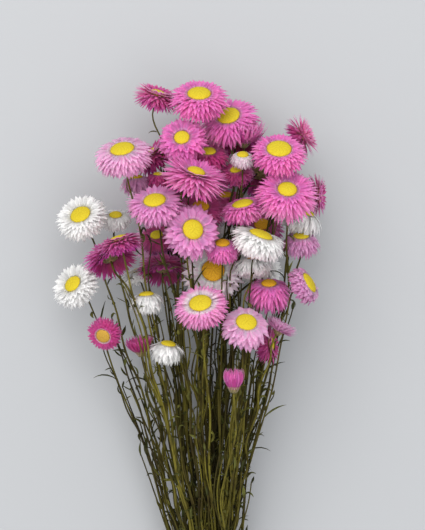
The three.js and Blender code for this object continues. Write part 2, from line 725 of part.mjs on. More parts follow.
const grown = new Set(GROWN_TOGETHER.flat());
for (const head of heads.values()) {
  if (grown.has(head.name)) continue;
  bunch.add(meshOf("bloom_" + head.name, restedOnTable(head.solid), colourOf(head.name), 0.8));
}
for (const [first, second] of GROWN_TOGETHER) {
  const pair = heads.get(first).solid.add(heads.get(second).solid);
  const name = "blooms_" + first + "_" + second.split("_")[1];
  bunch.add(meshOf(name, restedOnTable(pair), colourOf(first), 0.8));
}
groups.forEach((group, number) => {
  const parts = allPaths
    .filter((path) => path.group === number)
    .map((path) => tubeAlong(path.path, path.radius));
  parts.push(squeezedMass(groupCentre(number)));
  parts.push(...leaves.filter((leaf) => leaf.group === number).map((leaf) => leaf.solid));
  const fused = wasm.Manifold.union(parts);
  bunch.add(meshOf("leafy_stems_" + (number + 1), restedOnTable(fused), STEM_COLOUR, 0.9));
});
const band = meshOf("tie_band", solidOf(bandGeometry()), BAND_COLOUR, 0.6);
band.position.set(0, 0, TIE_HEIGHT);
bunch.add(band);

// The origin goes to the table's surface under the middle of the bunch
bunch.updateMatrixWorld(true);
const outer = new THREE.Box3().setFromObject(bunch, true);
bunch.position.set(-(outer.min.x + outer.max.x) / 2, -(outer.min.y + outer.max.y) / 2, 0);

export default bunch;
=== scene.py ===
"""A bunch of dried paper daisies, tied with a rubber band and lying on a table.

Metres, +Y along the stems to the heads, +Z up, the table at z = 0. The plants are laid out in
millimetres from the tie's centre, as in the part's source, and moved to the frame at the end.
"""

import bpy
import numpy as np
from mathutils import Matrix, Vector


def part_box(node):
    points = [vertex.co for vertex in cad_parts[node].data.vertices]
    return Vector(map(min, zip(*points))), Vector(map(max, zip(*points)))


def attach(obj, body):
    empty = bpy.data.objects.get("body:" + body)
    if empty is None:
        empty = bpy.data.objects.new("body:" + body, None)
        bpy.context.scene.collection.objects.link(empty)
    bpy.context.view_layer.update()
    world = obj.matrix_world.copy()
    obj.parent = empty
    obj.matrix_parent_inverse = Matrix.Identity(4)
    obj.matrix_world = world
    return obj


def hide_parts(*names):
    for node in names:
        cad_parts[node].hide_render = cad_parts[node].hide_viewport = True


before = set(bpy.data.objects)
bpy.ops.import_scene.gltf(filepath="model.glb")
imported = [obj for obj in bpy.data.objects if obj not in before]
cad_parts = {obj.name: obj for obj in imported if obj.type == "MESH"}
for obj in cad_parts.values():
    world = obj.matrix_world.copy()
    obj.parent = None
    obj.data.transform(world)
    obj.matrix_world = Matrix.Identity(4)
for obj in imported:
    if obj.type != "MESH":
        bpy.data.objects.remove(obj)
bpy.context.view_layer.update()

# Table, light and camera
# The bunch lies on a matt pale grey table top, seen from straight above. One wide soft lamp
# stands above the heads' end, and a second, cooler one fills from overhead.

TABLE_GREY = "#a8aaad"
TABLE_REACH = 3
SKY_COLOUR = (0.98, 0.975, 0.97, 1)
SKY_STRENGTH = 0.84
PIXEL = 0.65  # millimetres that one pixel of the photograph shows, at the heads
PHOTO_HEIGHT = 530
CAMERA_AWAY = 1.4
HEADS_LEVEL = 0.062
CAMERA_SEES = 20
SENSOR = 36
AIM = (1.6, 258.7)  # the middle of the photograph, from the tie, in millimetres


def linear(colour):
    """A colour "#rrggbb" as linear light: c / 12.92 near black, ((c + 0.055) / 1.055) ** 2.4 above."""
    c = np.array([int(colour[i:i + 2], 16) for i in (1, 3, 5)]) / 255
    c = np.where(c <= 0.04045, c / 12.92, ((c + 0.055) / 1.055) ** 2.4)
    return (*c.tolist(), 1.0)


def new_material(name):
    """A material as it comes, with its node tree and its shader."""
    material = bpy.data.materials.new(name)
    material.use_nodes = True
    return material, material.node_tree, material.node_tree.nodes["Principled BSDF"]


tie_low, tie_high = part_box("tie_band")
TIE = np.array([(tie_low.x + tie_high.x) / 2, (tie_low.y + tie_high.y) / 2, 0.0])

table_mesh = bpy.data.meshes.new("table_top")
table_corners = [(TABLE_REACH * x, TABLE_REACH * y, 0) for x, y in ((-1, -1), (1, -1), (1, 1), (-1, 1))]
table_mesh.from_pydata(table_corners, [], [(0, 1, 2, 3)])
table = bpy.data.objects.new("table_top", table_mesh)
bpy.context.scene.collection.objects.link(table)
table_matt, _, table_shader = new_material("table_matt")
table_shader.inputs["Base Color"].default_value = linear(TABLE_GREY)
table_shader.inputs["Roughness"].default_value = 0.9
table_shader.inputs["Specular IOR Level"].default_value = 0.1
table_mesh.materials.append(table_matt)


def lamp(name, place, aim, size, watts, colour):
    """A square soft lamp at a place, facing a point."""
    data = bpy.data.lights.new(name, "AREA")
    data.size = size
    data.energy = watts
    data.color = colour
    made = bpy.data.objects.new(name, data)
    bpy.context.scene.collection.objects.link(made)
    made.location = place
    made.rotation_euler = (Vector(aim) - Vector(place)).to_track_quat("-Z", "Y").to_euler()


lamp("main_lamp", place=(-0.4, 0.9, 1.6), aim=(0, 0.1, 0.05), size=1.5, watts=24, colour=(1.0, 0.985, 0.96))
lamp("fill_lamp", place=(0.3, -0.1, 1.9), aim=(0, 0.05, 0.05), size=1.6, watts=16, colour=(0.96, 0.98, 1.0))
sky = bpy.data.worlds.new("studio")
sky.use_nodes = True
sky.node_tree.nodes["Background"].inputs["Color"].default_value = SKY_COLOUR
sky.node_tree.nodes["Background"].inputs["Strength"].default_value = SKY_STRENGTH
bpy.context.scene.world = sky
bpy.context.scene.view_settings.view_transform = "Standard"

camera_data = bpy.data.cameras.new("camera")
camera_data.sensor_fit = "VERTICAL"
camera_data.sensor_height = SENSOR
camera_data.lens = SENSOR * CAMERA_AWAY / (PIXEL * PHOTO_HEIGHT / 1000)
camera_data.clip_end = CAMERA_SEES
camera = bpy.data.objects.new("camera", camera_data)
bpy.context.scene.collection.objects.link(camera)
camera.location = (TIE[0] + AIM[0] / 1000, TIE[1] + AIM[1] / 1000, HEADS_LEVEL + CAMERA_AWAY)
bpy.context.scene.camera = camera

# Flower heads
# Each head is one dried flower: a yellow disc of tiny florets in several rows of papery bracts,
# with a scaly cup below. The eight heads under the bunch are pressed into one another in pairs.

# Name, x, y, z of the disc's middle, width over the tips, the way it faces from above in degrees
# from +X, its lean from straight up, the lift of the upper bracts, the disc's share of the width
HEADS = [
    ("magenta_1", -34, 370, 60, 27, 73, 75, 8, 0.4),
    ("pink_1", -7, 368, 78, 40, 90, 55, 4, 0.4),
    ("pink_2", 12, 355, 64, 35, 105, 45, -5, 0.45),
    ("pink_3", -18, 340, 82, 31, 100, 30, 5, 0.34),
    ("blush_1", -56, 332, 85, 40, 100, 57, -18, 0.41),
    ("magenta_2", -38, 332, 48, 29, 130, 80, 8, 0.4),
    ("mauve_1", -48, 315, 62, 22, 95, 78, -30, 0.4),
    ("magenta_3", -33, 317, 64, 20, 90, 78, -30, 0.4),
    ("pink_4", -9, 317, 96, 41, 72, 68, 15, 0.3),
    ("blush_2", -35, 299, 96, 36, 98, 54, -8, 0.42),
    ("white_1", -84, 291, 62, 34, 115, 45, 4, 0.42),
    ("white_2", -62, 291, 48, 23, 90, 60, -25, 0.39),
    ("magenta_4", -58, 275, 84, 30, 105, 85, 5, 0.4),
    ("magenta_5", -66, 266, 60, 30, 110, 120, 5, 0.4),
    ("white_3", -48, 254, 38, 26, 110, 95, 0, 0.4),
    ("magenta_6", -31, 259, 51.6, 28, 90, 115, 5, 0.4),
    ("mauve_2", -35, 278, 50, 22, 100, 50, -5, 0.4),
    ("blush_3", -11, 281, 96, 37, 45, 20, 4, 0.38),
    ("pink_5", 21, 297, 85, 32, 102, 70, -5, 0.45),
    ("pink_6", 49, 306, 95, 42, 85, 42, 4, 0.31),
    ("pink_7", 44, 332, 90, 37, 88, 48, 2, 0.45),
    ("magenta_7", 61, 343, 60, 23, 25, 88, 5, 0.4),
    ("magenta_8", 71, 304, 52, 23, 0, 80, 8, 0.4),
    ("white_4", 62, 292, 62, 29, 70, 75, -60, 0.4),
    ("mauve_3", 59, 277, 66, 27, 90, 65, -32, 0.4),
    ("mauve_4", 34, 285, 48, 26, 90, 45, -5, 0.42),
    ("white_5", 32, 277, 98, 38, 70, 74, -18, 0.43),
    ("white_6", 28, 261, 72, 29, 90, 100, -32, 0.4),
    ("pink_8", 8, 272, 84, 28, 90, 62, -34, 0.36),
    ("mauve_5", 2, 255, 67, 34, 90, 18, 0, 0.46),
    ("pink_9", -6, 234, 98, 35, 100, 47, -4, 0.43),
    ("magenta_9", 38, 246, 72, 32, 90, 65, -28, 0.33),
    ("mauve_6", 63, 247, 82, 29, 31, 71, -32, 0.5),
    ("mauve_7", 23, 222, 96, 32, 80, 42, -30, 0.44),
    ("magenta_10", 39, 208, 68, 23, 10, 75, 0, 0.4),
    ("mauve_8", 45, 218, 78, 17, 60, 85, 40, 0.36),
    ("pink_10", 15, 182, 94, 16, 90, 85, 78, 0.4),
    ("magenta_11", -69, 213, 70, 23, 235, 30, 5, 0.42),
    ("magenta_12", -45, 204, 66, 17, 100, 80, 60, 0.4),
    ("white_7", -41, 239, 72, 26, 95, 80, -64, 0.4),
    ("white_8", -27, 207, 70, 26, 80, 75, -52, 0.4),
    ("white_9", -89, 246, 60, 32, 135, 45, 4, 0.38),
    ("magenta_13", -1, 332, 62, 26, 90, 60, -5, 0.4),
    ("pink_11", 22, 340, 60, 20, 90, 80, 55, 0.4),
    ("mauve_9", 21, 329, 80, 20, 90, 60, -35, 0.4),
    ("mauve_10", 17, 320, 65, 21, 100, 60, 0, 0.4),
    ("mauve_11", -6, 296, 72, 29, 90, 50, 0, 0.4),
    ("magenta_14", 10, 304, 44, 26, 90, 70, -10, 0.4),
    ("pink_12", -7, 315, 8, 38, 95, 150, 4, 0.4),
    ("pink_13", -13, 342, 15, 31, 100, 140, 4, 0.4),
    ("magenta_15", 20, 346, 16.5, 30, 70, 135, 4, 0.4),
    ("magenta_16", 34, 323, 8.5, 32, 50, 140, 4, 0.4),
    ("blush_4", -33, 277, 5, 33, 120, 140, 4, 0.4),
    ("blush_5", -39, 304, 10, 33, 130, 135, 4, 0.4),
    ("white_10", 10, 271, 8, 35, 90, 148, 4, 0.4),
    ("white_11", 34, 257, 14, 30, 60, 140, 4, 0.4),
]
GROWN_TOGETHER = [
    ("pink_12", "pink_13"),
    ("magenta_15", "magenta_16"),
    ("blush_4", "blush_5"),
    ("white_10", "white_11"),
]
CUP_END_RADIUS = 1.7
CUP_DEPTH = 3
CUP_DEEPER = 0.1  # for each millimetre of the head's width
CUP_WIDER = 0.05  # than the disc, in shares of the head's radius
UPWARDS = np.array([0.0, 0.0, 1.0])

names = [row[0] for row in HEADS]
number_of = {name: number for number, name in enumerate(names)}
place = np.array([row[1:4] for row in HEADS], float)
across, toward, lean, lift, disc_share = np.array([row[4:] for row in HEADS], float).T
toward, lean, lift = np.radians(toward), np.radians(lean), np.radians(lift)
facing = np.stack([np.sin(lean) * np.cos(toward), np.sin(lean) * np.sin(toward), np.cos(lean)], 1)
half_width = across / 2
cup_top = half_width * (disc_share + CUP_WIDER)
cup_depth = CUP_DEPTH + CUP_DEEPER * across


def put_in_place(number, points):
    """A head's points, turned to the way d it faces and moved there.

    The smallest turn that takes +Z to d is I + K + K K / (1 + d.z), K the matrix of Z x d.
    """
    x, y, z = facing[number]
    k = np.array([[0, 0, x], [0, 0, y], [-x, -y, 0]])
    turn = np.eye(3) + k + k @ k / (1 + z)
    return points @ turn.T + place[number]


def skin(*shape):
    """The faces of closed tubes whose points stand on a grid: the last two sides of its shape are
    the rings along a tube and the points round each ring.

    Walls join ring to ring, and a fan (0, 2k - 1, 2k, 2k + 1), k = 1, 2 and on, closes each end.
    """
    here = np.arange(np.prod(shape)).reshape(shape)
    after = np.roll(here, -1, axis=-1)
    walls = np.stack([here[..., :-1, :], after[..., :-1, :], after[..., 1:, :], here[..., 1:, :]], -1)
    k = np.arange(1, shape[-1] // 2)[:, None]
    fan = np.hstack([0 * k, 2 * k - 1, 2 * k, 2 * k + 1])
    far_end, near_end = here[..., -1, :][..., fan], here[..., 0, :][..., fan[:, ::-1]]
    return np.concatenate([faces.reshape(-1, 4) for faces in (walls, far_end, near_end)])


# Across a blade: points on its section, in half widths and half thicknesses, once round
SECTION = np.array([(-1, 0), (0, 1), (1, 0), (0, -1)], float)
STATIONS = np.array([0, 0.2, 0.42, 0.64, 0.85, 1.0])
POINTED = 0.95  # how much of its width a blade loses up to its tip
TIP_POWER = 1.35
EDGE_THICK = 0.4  # the share of its thickness that a blade keeps where it is narrow
LEAST_BEND = 1e-3  # a straight blade counts as bent by this much, so that nothing is divided by 0


def blades(
    root, forward, up, length, width, rise, bend, slim, thickness, row, tint,
    edge_curl=0, twist=0, sway=0, in_cup=0,
):
    """Closed papery blades, each a bent line with a four-point section carried along it.

    The line leaves its root at the angle `rise` from `forward` towards `up`, and its angle
    changes evenly by `bend`: rise + bend s, s from 0 at the root to 1 at the tip. So it lies at
    root + L (sin(rise + bend s) - sin rise) / bend forward - L (cos(...) - cos rise) / bend up.
    The half width is W (slim + (1 - slim) sin(pi s)) / 2 up to the middle, then falls to the
    tip as 1 - POINTED t ** TIP_POWER, t from 0 at the middle to 1 at the tip. The edges curl up
    by edge_curl times the half width, the section turns by twist, and the line sways sideways
    as s squared. Each point also carries its blade's row, tint and whether it is in the cup.
    A leaf's row says how leafy it is.
    """
    one = [length, width, rise, bend, edge_curl, twist, sway]
    one = [np.broadcast_to(np.asarray(v, float), len(root))[:, None] for v in one]
    length, width, rise, bend, edge_curl, twist, sway = one
    bend = np.where(np.abs(bend) < LEAST_BEND, LEAST_BEND, bend)
    s = STATIONS[None, :]
    angle = rise + bend * s
    ahead = length * (np.sin(angle) - np.sin(rise)) / bend
    above = -length * (np.cos(angle) - np.cos(rise)) / bend
    side = np.cross(forward, up)[:, None, :]
    f, u = forward[:, None, :], np.broadcast_to(up, forward.shape)[:, None, :]
    line = root[:, None, :] + ahead[..., None] * f + above[..., None] * u
    line = line + (sway * length * s**2)[..., None] * side
    normal = -np.sin(angle)[..., None] * f + np.cos(angle)[..., None] * u
    tip = np.clip((s - 0.5) / 0.5, 0, 1)
    shape = (slim + (1 - slim) * np.sin(np.pi * np.minimum(s, 0.5))) * (1 - POINTED * tip**TIP_POWER)
    half = 0.5 * width * shape
    turned_side = np.cos(twist)[..., None] * side + np.sin(twist)[..., None] * normal
    turned_normal = np.cos(twist)[..., None] * normal - np.sin(twist)[..., None] * side
    x, y = SECTION[:, 0], SECTION[:, 1]
    out = half[..., None] * x
    thick = 0.5 * thickness * y * (EDGE_THICK + (1 - EDGE_THICK) * shape[..., None])
    high = edge_curl[..., None] * half[..., None] * x**2 + thick
    points = (
        line[:, :, None, :]
        + out[..., None] * turned_side[:, :, None, :]
        + high[..., None] * turned_normal[:, :, None, :]
    )
    uv = np.empty((*points.shape[:3], 2))
    uv[..., 0] = 0.5 + 0.5 * x
    uv[..., 1] = s[..., None]
    growth = np.empty(points.shape)
    for number, value in enumerate((row, tint, in_cup)):
        growth[..., number] = np.reshape(value, (-1, 1, 1))
    return points.reshape(-1, 3), skin(*points.shape[:3]), uv.reshape(-1, 2), growth.reshape(-1, 3)


SOFT_HEIGHT = 1.5  # what is lower than this is pressed on the table a little


def on_table(points):
    """What would pass through the table lies down on it: under c, z becomes c^2 / (2 c - z)."""
    z = points[:, 2]
    lain = SOFT_HEIGHT**2 / (2 * SOFT_HEIGHT - np.minimum(z, SOFT_HEIGHT))
    return np.column_stack([points[:, :2], np.where(z < SOFT_HEIGHT, lain, z)])


def joined(parts):
    """Several (points, faces, uv, growth) as one, the faces counted on from part to part."""
    first = np.cumsum([0] + [len(part[0]) for part in parts[:-1]])
    faces = np.concatenate([part[1] + start for part, start in zip(parts, first)])
    points, uv, growth = (np.concatenate([part[k] for part in parts]) for k in (0, 2, 3))
    return points, faces, uv, growth


def piece(name, points, faces, uv, growth, material, slot, *nodes):
    """A smooth mesh from millimetres round the tie: points / 1000 + the tie's place in the frame.

    Where u is 0 or 1 a blade has its two thin edges, which stay sharp.
    """
    mesh = bpy.data.meshes.new(name)
    mesh.from_pydata((on_table(points) / 1000 + TIE).tolist(), [], faces.tolist())
    corners = np.empty(len(mesh.loops), np.int32)
    mesh.loops.foreach_get("vertex_index", corners)
    layer = mesh.uv_layers.new(name="along")
    layer.data.foreach_set("uv", uv[corners].astype(np.float32).ravel())
    kept = mesh.attributes.new("growth", "FLOAT_VECTOR", "POINT")
    kept.data.foreach_set("vector", growth.astype(np.float32).ravel())
    mesh.polygons.foreach_set("use_smooth", np.ones(len(mesh.polygons), bool))
    ends = np.empty(len(mesh.edges) * 2, np.int32)
    mesh.edges.foreach_get("vertices", ends)
    u = uv[ends.reshape(-1, 2), 0]
    rims = mesh.attributes.new("sharp_edge", "BOOLEAN", "EDGE")
    rims.data.foreach_set("value", (u == 0).all(axis=1) | (u == 1).all(axis=1))
    mesh.materials.append(material)
    made = bpy.data.objects.new(name, mesh)
    bpy.context.scene.collection.objects.link(made)
    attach(made, "root")
    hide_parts(*nodes)


# What each row of bracts reaches, from the disc outwards and down, in shares of the head's radius
REACH = (0.72, 0.88, 0.98, 1.03, 1.04, 1.0, 0.9)
FULL_REACH = (0.9, 0.98, 1.03, 1.04, 1.02, 0.98, 0.9)
FULL = {"pink_9"}  # with all white and blush heads
STARRY_REACH = (0.82, 0.96, 1.05, 1.02, 0.86)
ROW_BRACTS = 20
ROW_BRACTS_MORE = 0.8  # for each millimetre of the head's radius
STARRY = {"pink_3", "mauve_7", "blush_3", "mauve_5", "mauve_6"}  # fewer bracts, apart from each other
STARRY_BRACTS = 0.85  # of the others' count
BROAD = {"white": 0.98, "blush": 0.92}  # the bracts' width, in shares of their pitch at the edge
USUAL_BROAD = 0.8
STARRY_BROAD = 1.15
OUTER_HEIGHT = 76  # heads below this height lie inside the bunch, and their bracts fill it
INNER_SPREAD = 1.26  # how much further than their row's share the bracts reach there
OUTER_SPREAD = 1.04
SPREAD = {
    "mauve_7": 1.2, "magenta_8": 1.3, "mauve_3": 1.22, "magenta_7": 1.35, "pink_3": 1.1, "white_7": 1.2,
    "white_8": 1.2, "magenta_12": 1.0, "magenta_11": 1.06, "magenta_1": 1.2, "white_4": 1.3,
}
# Heads on which the rows stand further apart
SHAGGY = {
    "magenta_7": 1.9, "magenta_1": 1.4, "magenta_2": 1.3, "magenta_8": 1.5, "magenta_10": 1.5, "mauve_6": 1.3,
}
RAGGED_BELOW = np.radians(-50)  # heads whose bracts fold back further than this have them at all angles
RAGGED_MORE = 2.5
TURN_UNEVEN = 0.3
RISE_UNEVEN = 0.05
BEND_UNEVEN = 0.09
TWIST_UNEVEN = 0.12
SWAY_UNEVEN = 0.06
BRACT_THICKNESS = 0.12
BRACT_SLIM = 0.5
BRACT_LENGTHS = (0.84, 1.04)
BRACT_WIDTHS = (0.8, 1.25)
BRACT_CURLS = (0.05, 0.38)
ROOT_IN = 0.02
LAST_ROOT_IN = 0.03
ROOT_UP = 0.05
LAST_ROOT_DOWN = 0.25
FIRST_RISE = 8  # degrees, as the next four are
ROW_FALL = 26
FLAT_ROW_FALL = 34
FIRST_BEND = 6
LAST_BEND = 12
LIFT_BEND = 0.55
LIFT_BEND_MOST = 0.3  # radians: more lift than this bends them no more
CLOSED_LONGER = 1.3
CLOSED_HOLD = 0.6
CLOSED_BEND = 1.45


def around_axis(turn):
    """The directions square to +Z at these turns: (cos, sin, 0)."""
    return np.stack([np.cos(turn), np.sin(turn), np.zeros(len(turn))], 1)


def bract_rows(number, rng):
    """All bracts of one head, in rows from the disc outwards and down, in the head's own frame.

    Row q (0 the innermost, 1 the outermost) is rooted at radius R (d - ROOT_IN - LAST_ROOT_IN q^2)
    and height R (ROOT_UP - LAST_ROOT_DOWN q), R the head's radius and d the disc's share of it.
    Halfway along, its bracts rise by the head's lift + FIRST_RISE g^3 - (ROW_FALL + FLAT_ROW_FALL
    cos^2 lift) q g, where g is 1, or more on shaggy heads. From root to tip they bend by
    LIFT_BEND lift - FIRST_BEND - LAST_BEND q. With c = sin^2 lift on a head that closes, they are
    1 + CLOSED_LONGER c as long, fall 1 - CLOSED_HOLD c as much and bend up by CLOSED_BEND c.
    """
    name = names[number]
    kind = name.split("_")[0]
    radius = half_width[number]
    up = lift[number]
    count = int(ROW_BRACTS + ROW_BRACTS_MORE * radius)
    closed = max(0, np.sin(up)) ** 2
    shaggy = SHAGGY.get(name, 1)
    inner = place[number, 2] < OUTER_HEIGHT and kind != "white"
    fuller = SPREAD.get(name, INNER_SPREAD if inner else OUTER_SPREAD)
    ragged = 1 + RAGGED_MORE * (up < RAGGED_BELOW)
    reaches = FULL_REACH if kind in BROAD or name in FULL else REACH
    broad = BROAD.get(kind, USUAL_BROAD)
    if name in STARRY:
        broad = STARRY_BROAD
        reaches = STARRY_REACH
        count = int(STARRY_BRACTS * count)
    parts = []
    for row, reach in enumerate(reaches):
        q = row / (len(reaches) - 1)
        n = count + (row % 2)
        turn = np.arange(n) + 0.5 * (row % 2) + rng.uniform(-TURN_UNEVEN, TURN_UNEVEN, n)
        forward = around_axis(turn / n * 2 * np.pi)
        root_radius = radius * (disc_share[number] - ROOT_IN - LAST_ROOT_IN * q**2)
        root = forward * root_radius + UPWARDS * radius * (ROOT_UP - LAST_ROOT_DOWN * q)
        length = (reach * radius * fuller - root_radius) * rng.uniform(*BRACT_LENGTHS, n)
        length = length * (1 + CLOSED_LONGER * closed)
        fall = np.radians(ROW_FALL + FLAT_ROW_FALL * np.cos(up) ** 2) * (1 - CLOSED_HOLD * closed)
        middle_rise = up + np.radians(FIRST_RISE) * shaggy**3 - q * fall * shaggy
        middle_rise = middle_rise + rng.normal(0, RISE_UNEVEN * ragged, n)
        bend = LIFT_BEND * min(up, LIFT_BEND_MOST) - np.radians(FIRST_BEND + LAST_BEND * q)
        bend = bend + rng.normal(0, BEND_UNEVEN * ragged, n) + CLOSED_BEND * closed
        width = 2 * np.pi * radius * broad / n * rng.uniform(*BRACT_WIDTHS, n)
        parts.append(blades(
            root, forward, UPWARDS, length, width, rise=middle_rise - 0.5 * bend, bend=bend,
            edge_curl=rng.uniform(*BRACT_CURLS, n), twist=rng.normal(0, TWIST_UNEVEN, n),
            sway=rng.normal(0, SWAY_UNEVEN, n), slim=BRACT_SLIM, thickness=BRACT_THICKNESS,
            row=q, tint=rng.random(n),
        ))
    return parts


CUP_RIM = 0.14  # how far under the disc the cup's scales begin, in shares of the head's radius
SCALE_ROWS = (0.25, 0.55, 0.85)  # about where the tips of each row stand, from the rim to the stem
SCALE_ROOT = 0.15  # how much further down the roots are
SCALE_SUNK = 0.92
SCALES = 13
SCALES_FEWER = 2  # from row to row
SCALE_LENGTHS = (0.26, 0.36)
SCALE_OVERLAP = 1.7
SCALE_BEND = -0.25
SCALE_BEND_UNEVEN = 0.1
SCALE_CURL = -0.3
SCALE_SLIM = 0.7
SCALE_THICKNESS = 0.22
CONE_SIDES = 14


def cup_scales(number, rng):
    """The scaly cup: short scales in three rows on a cone from under the bracts to the stem.

    A row's roots are on the cone, f + SCALE_ROOT of the way down, and the scales lie along it.
    """
    radius = half_width[number]
    top = cup_top[number]
    slope = np.arctan2(cup_depth[number] - CUP_RIM * radius, top - CUP_END_RADIUS)
    parts = []
    for row, f in enumerate(SCALE_ROWS):
        n = SCALES - SCALES_FEWER * row
        forward = around_axis((np.arange(n) + 0.5 * (row % 2)) / n * 2 * np.pi)
        down = min(1, f + SCALE_ROOT)
        low_radius = top + (CUP_END_RADIUS - top) * down
        low = -CUP_RIM * radius + (CUP_RIM * radius - cup_depth[number]) * down
        parts.append(blades(
            forward * low_radius * SCALE_SUNK + UPWARDS * low, forward, UPWARDS,
            length=radius * rng.uniform(*SCALE_LENGTHS, n),
            width=2 * np.pi * low_radius / n * SCALE_OVERLAP,
            rise=slope, bend=rng.normal(SCALE_BEND, SCALE_BEND_UNEVEN, n), edge_curl=SCALE_CURL,
            slim=SCALE_SLIM, thickness=SCALE_THICKNESS, row=1, tint=rng.random(n), in_cup=1,
        ))
    return parts


def cup_cone(number):
    """The cone inside the scales and under the bracts: (radius, height) pairs carried once round
    +Z. Its two upper rings, between the bracts' roots, have the bracts' own colour."""
    depth = cup_depth[number]
    radius = half_width[number]
    top = cup_top[number]
    profile = np.array([
        (CUP_END_RADIUS * 0.8, -depth),
        (CUP_END_RADIUS, -depth + 0.5),
        (0.5 * (top + CUP_END_RADIUS), -0.6 * depth),
        (top, -0.12 * radius - 0.5),
        (top * 0.9, -0.02 * radius),
    ])
    growth = np.array([(1, 0.5, 1), (1, 0.5, 1), (1, 0.5, 1), (0.2, 0.6, 0), (0, 0.6, 0)])
    ring = around_axis(np.arange(CONE_SIDES) / CONE_SIDES * 2 * np.pi)
    points = (profile[:, None, :1] * ring + profile[:, None, 1:] * UPWARDS).reshape(-1, 3)
    faces = skin(len(profile), CONE_SIDES)
    return points, faces, np.full((len(points), 2), 0.5), np.repeat(growth, CONE_SIDES, axis=0)


HEADS_SEED = 1000


def bracts_and_cup(number):
    """All of one head but its disc, in its place."""
    rng = np.random.default_rng(HEADS_SEED + number)
    parts = bract_rows(number, rng) + cup_scales(number, rng) + [cup_cone(number)]
    points, faces, uv, growth = joined(parts)
    return put_in_place(number, points), faces, uv, growth


DISC_RINGS = 15
DISC_AROUND = 64
DISC_SLANTS = (0.62 * np.pi, 0.035)  # from under the rim to the top
DISC_DOME = 0.15  # of the head's radius
DISC_DOME_MORE = 0.45
GOLDEN_ANGLE = np.radians(137.5)
FLORET_RISE = 0.22
FLORET_WIDTH = 0.35
FLORETS = (50, 230)
FLORETS_FOR_RIM = 3.2  # times the square of the rim's radius


def disc_part(number):
    """A domed cushion of florets: r = 0.97 R sin(a) ** 0.8, z = dome cos(a) ** 0.9, a the slant.

    The florets stand in a spiral, each turned by the golden angle from the one before, and lift
    the surface by FLORET_RISE e^-(distance / (FLORET_WIDTH spacing))^2 outwards, 0.8 of it up.
    """
    rim = half_width[number] * disc_share[number]
    dome = DISC_DOME * half_width[number] + DISC_DOME_MORE
    slant = np.linspace(*DISC_SLANTS, DISC_RINGS)[:, None]
    turn = (np.arange(DISC_AROUND) / DISC_AROUND * 2 * np.pi)[None, :]
    r = rim * 0.97 * np.sin(slant) ** 0.8
    z = dome * np.sign(np.cos(slant)) * np.abs(np.cos(slant)) ** 0.9
    x, y = r * np.cos(turn), r * np.sin(turn)
    florets = int(np.clip(FLORETS_FOR_RIM * rim**2, *FLORETS))
    count = np.arange(florets) + 0.5
    floret_radius, floret_turn = rim * 0.94 * np.sqrt(count / florets), count * GOLDEN_ANGLE
    floret_x, floret_y = floret_radius * np.cos(floret_turn), floret_radius * np.sin(floret_turn)
    near = np.min((x[..., None] - floret_x) ** 2 + (y[..., None] - floret_y) ** 2, axis=-1)
    spacing = rim * np.sqrt(np.pi / florets)
    bump = FLORET_RISE * np.exp(-near / (FLORET_WIDTH * spacing) ** 2)
    grow = 1 + bump / np.hypot(r, dome)
    points = np.stack([x * grow, y * grow, z + bump * 0.8], -1).reshape(-1, 3)
    growth = np.stack(np.broadcast_arrays(r / rim, bump / FLORET_RISE, z / dome), -1).reshape(-1, 3)
    faces = skin(DISC_RINGS, DISC_AROUND)
    return put_in_place(number, points), faces, np.full((len(points), 2), 0.5), growth


def node(tree, kind, **values):
    """A shader node; its settings by name, its sockets' values by number or name in `sockets`."""
    made = tree.nodes.new("ShaderNode" + kind)
    for socket, value in values.pop("sockets", {}).items():
        made.inputs[socket].default_value = value
    for key, value in values.items():
        setattr(made, key, value)
    return made


def mixed(tree, blend, factor, a, b):
    """A colour mix: a and b are sockets or colours, factor a socket or a number."""
    made = node(tree, "Mix", data_type="RGBA", blend_type=blend)
    for socket, value in ((made.inputs[0], factor), (made.inputs[6], a), (made.inputs[7], b)):
        if isinstance(value, bpy.types.NodeSocket):
            tree.links.new(value, socket)
        else:
            socket.default_value = value
    return made.outputs[2]


def ranged(tree, value, low, high, to_low=0.0, to_high=1.0):
    """A number's range carried to another, clamped."""
    made = node(tree, "MapRange", sockets={1: low, 2: high, 3: to_low, 4: to_high})
    tree.links.new(value, made.inputs[0])
    return made.outputs[0]


def parted(tree, vector):
    """The three numbers of a vector."""
    made = node(tree, "SeparateXYZ")
    tree.links.new(vector, made.inputs[0])
    return made.outputs


def grown(tree):
    """The three numbers that a piece's points carry, as `blades` and the others give them."""
    return parted(tree, node(tree, "Attribute", attribute_name="growth").outputs["Vector"])


def noise(tree, where, scale, detail, roughness=0.5):
    """Uneven patches from 0 to 1, `scale` of them to a unit of the vector `where`."""
    made = node(tree, "TexNoise", sockets={"Scale": scale, "Detail": detail, "Roughness": roughness})
    tree.links.new(where, made.inputs["Vector"])
    return made.outputs[0]


def embossed(tree, shader, height, strength, distance=0.0002):
    """Relief too fine for the mesh: the surface's normal leans with the slope of a height."""
    relief = node(tree, "Bump", sockets={"Strength": strength, "Distance": distance})
    tree.links.new(height, relief.inputs["Height"])
    tree.links.new(relief.outputs[0], shader.inputs["Normal"])


PINK_GLOW = (0.003, 0.0014, 0.0022)  # how far red, green and blue light goes inside a bract
WHITE_GLOW = (0.003, 0.0029, 0.0028)
CUP_BROWN = ("#6f5a34", "#a98a5e")  # a scale's root and tip
RIBS = (9.0, 0.9, 40.0)  # uneven patches over a bract's width, over its length and from bract to bract
TINTS = {"Hue": (0.492, 0.508), "Value": (0.88, 1.1)}  # how far bracts differ


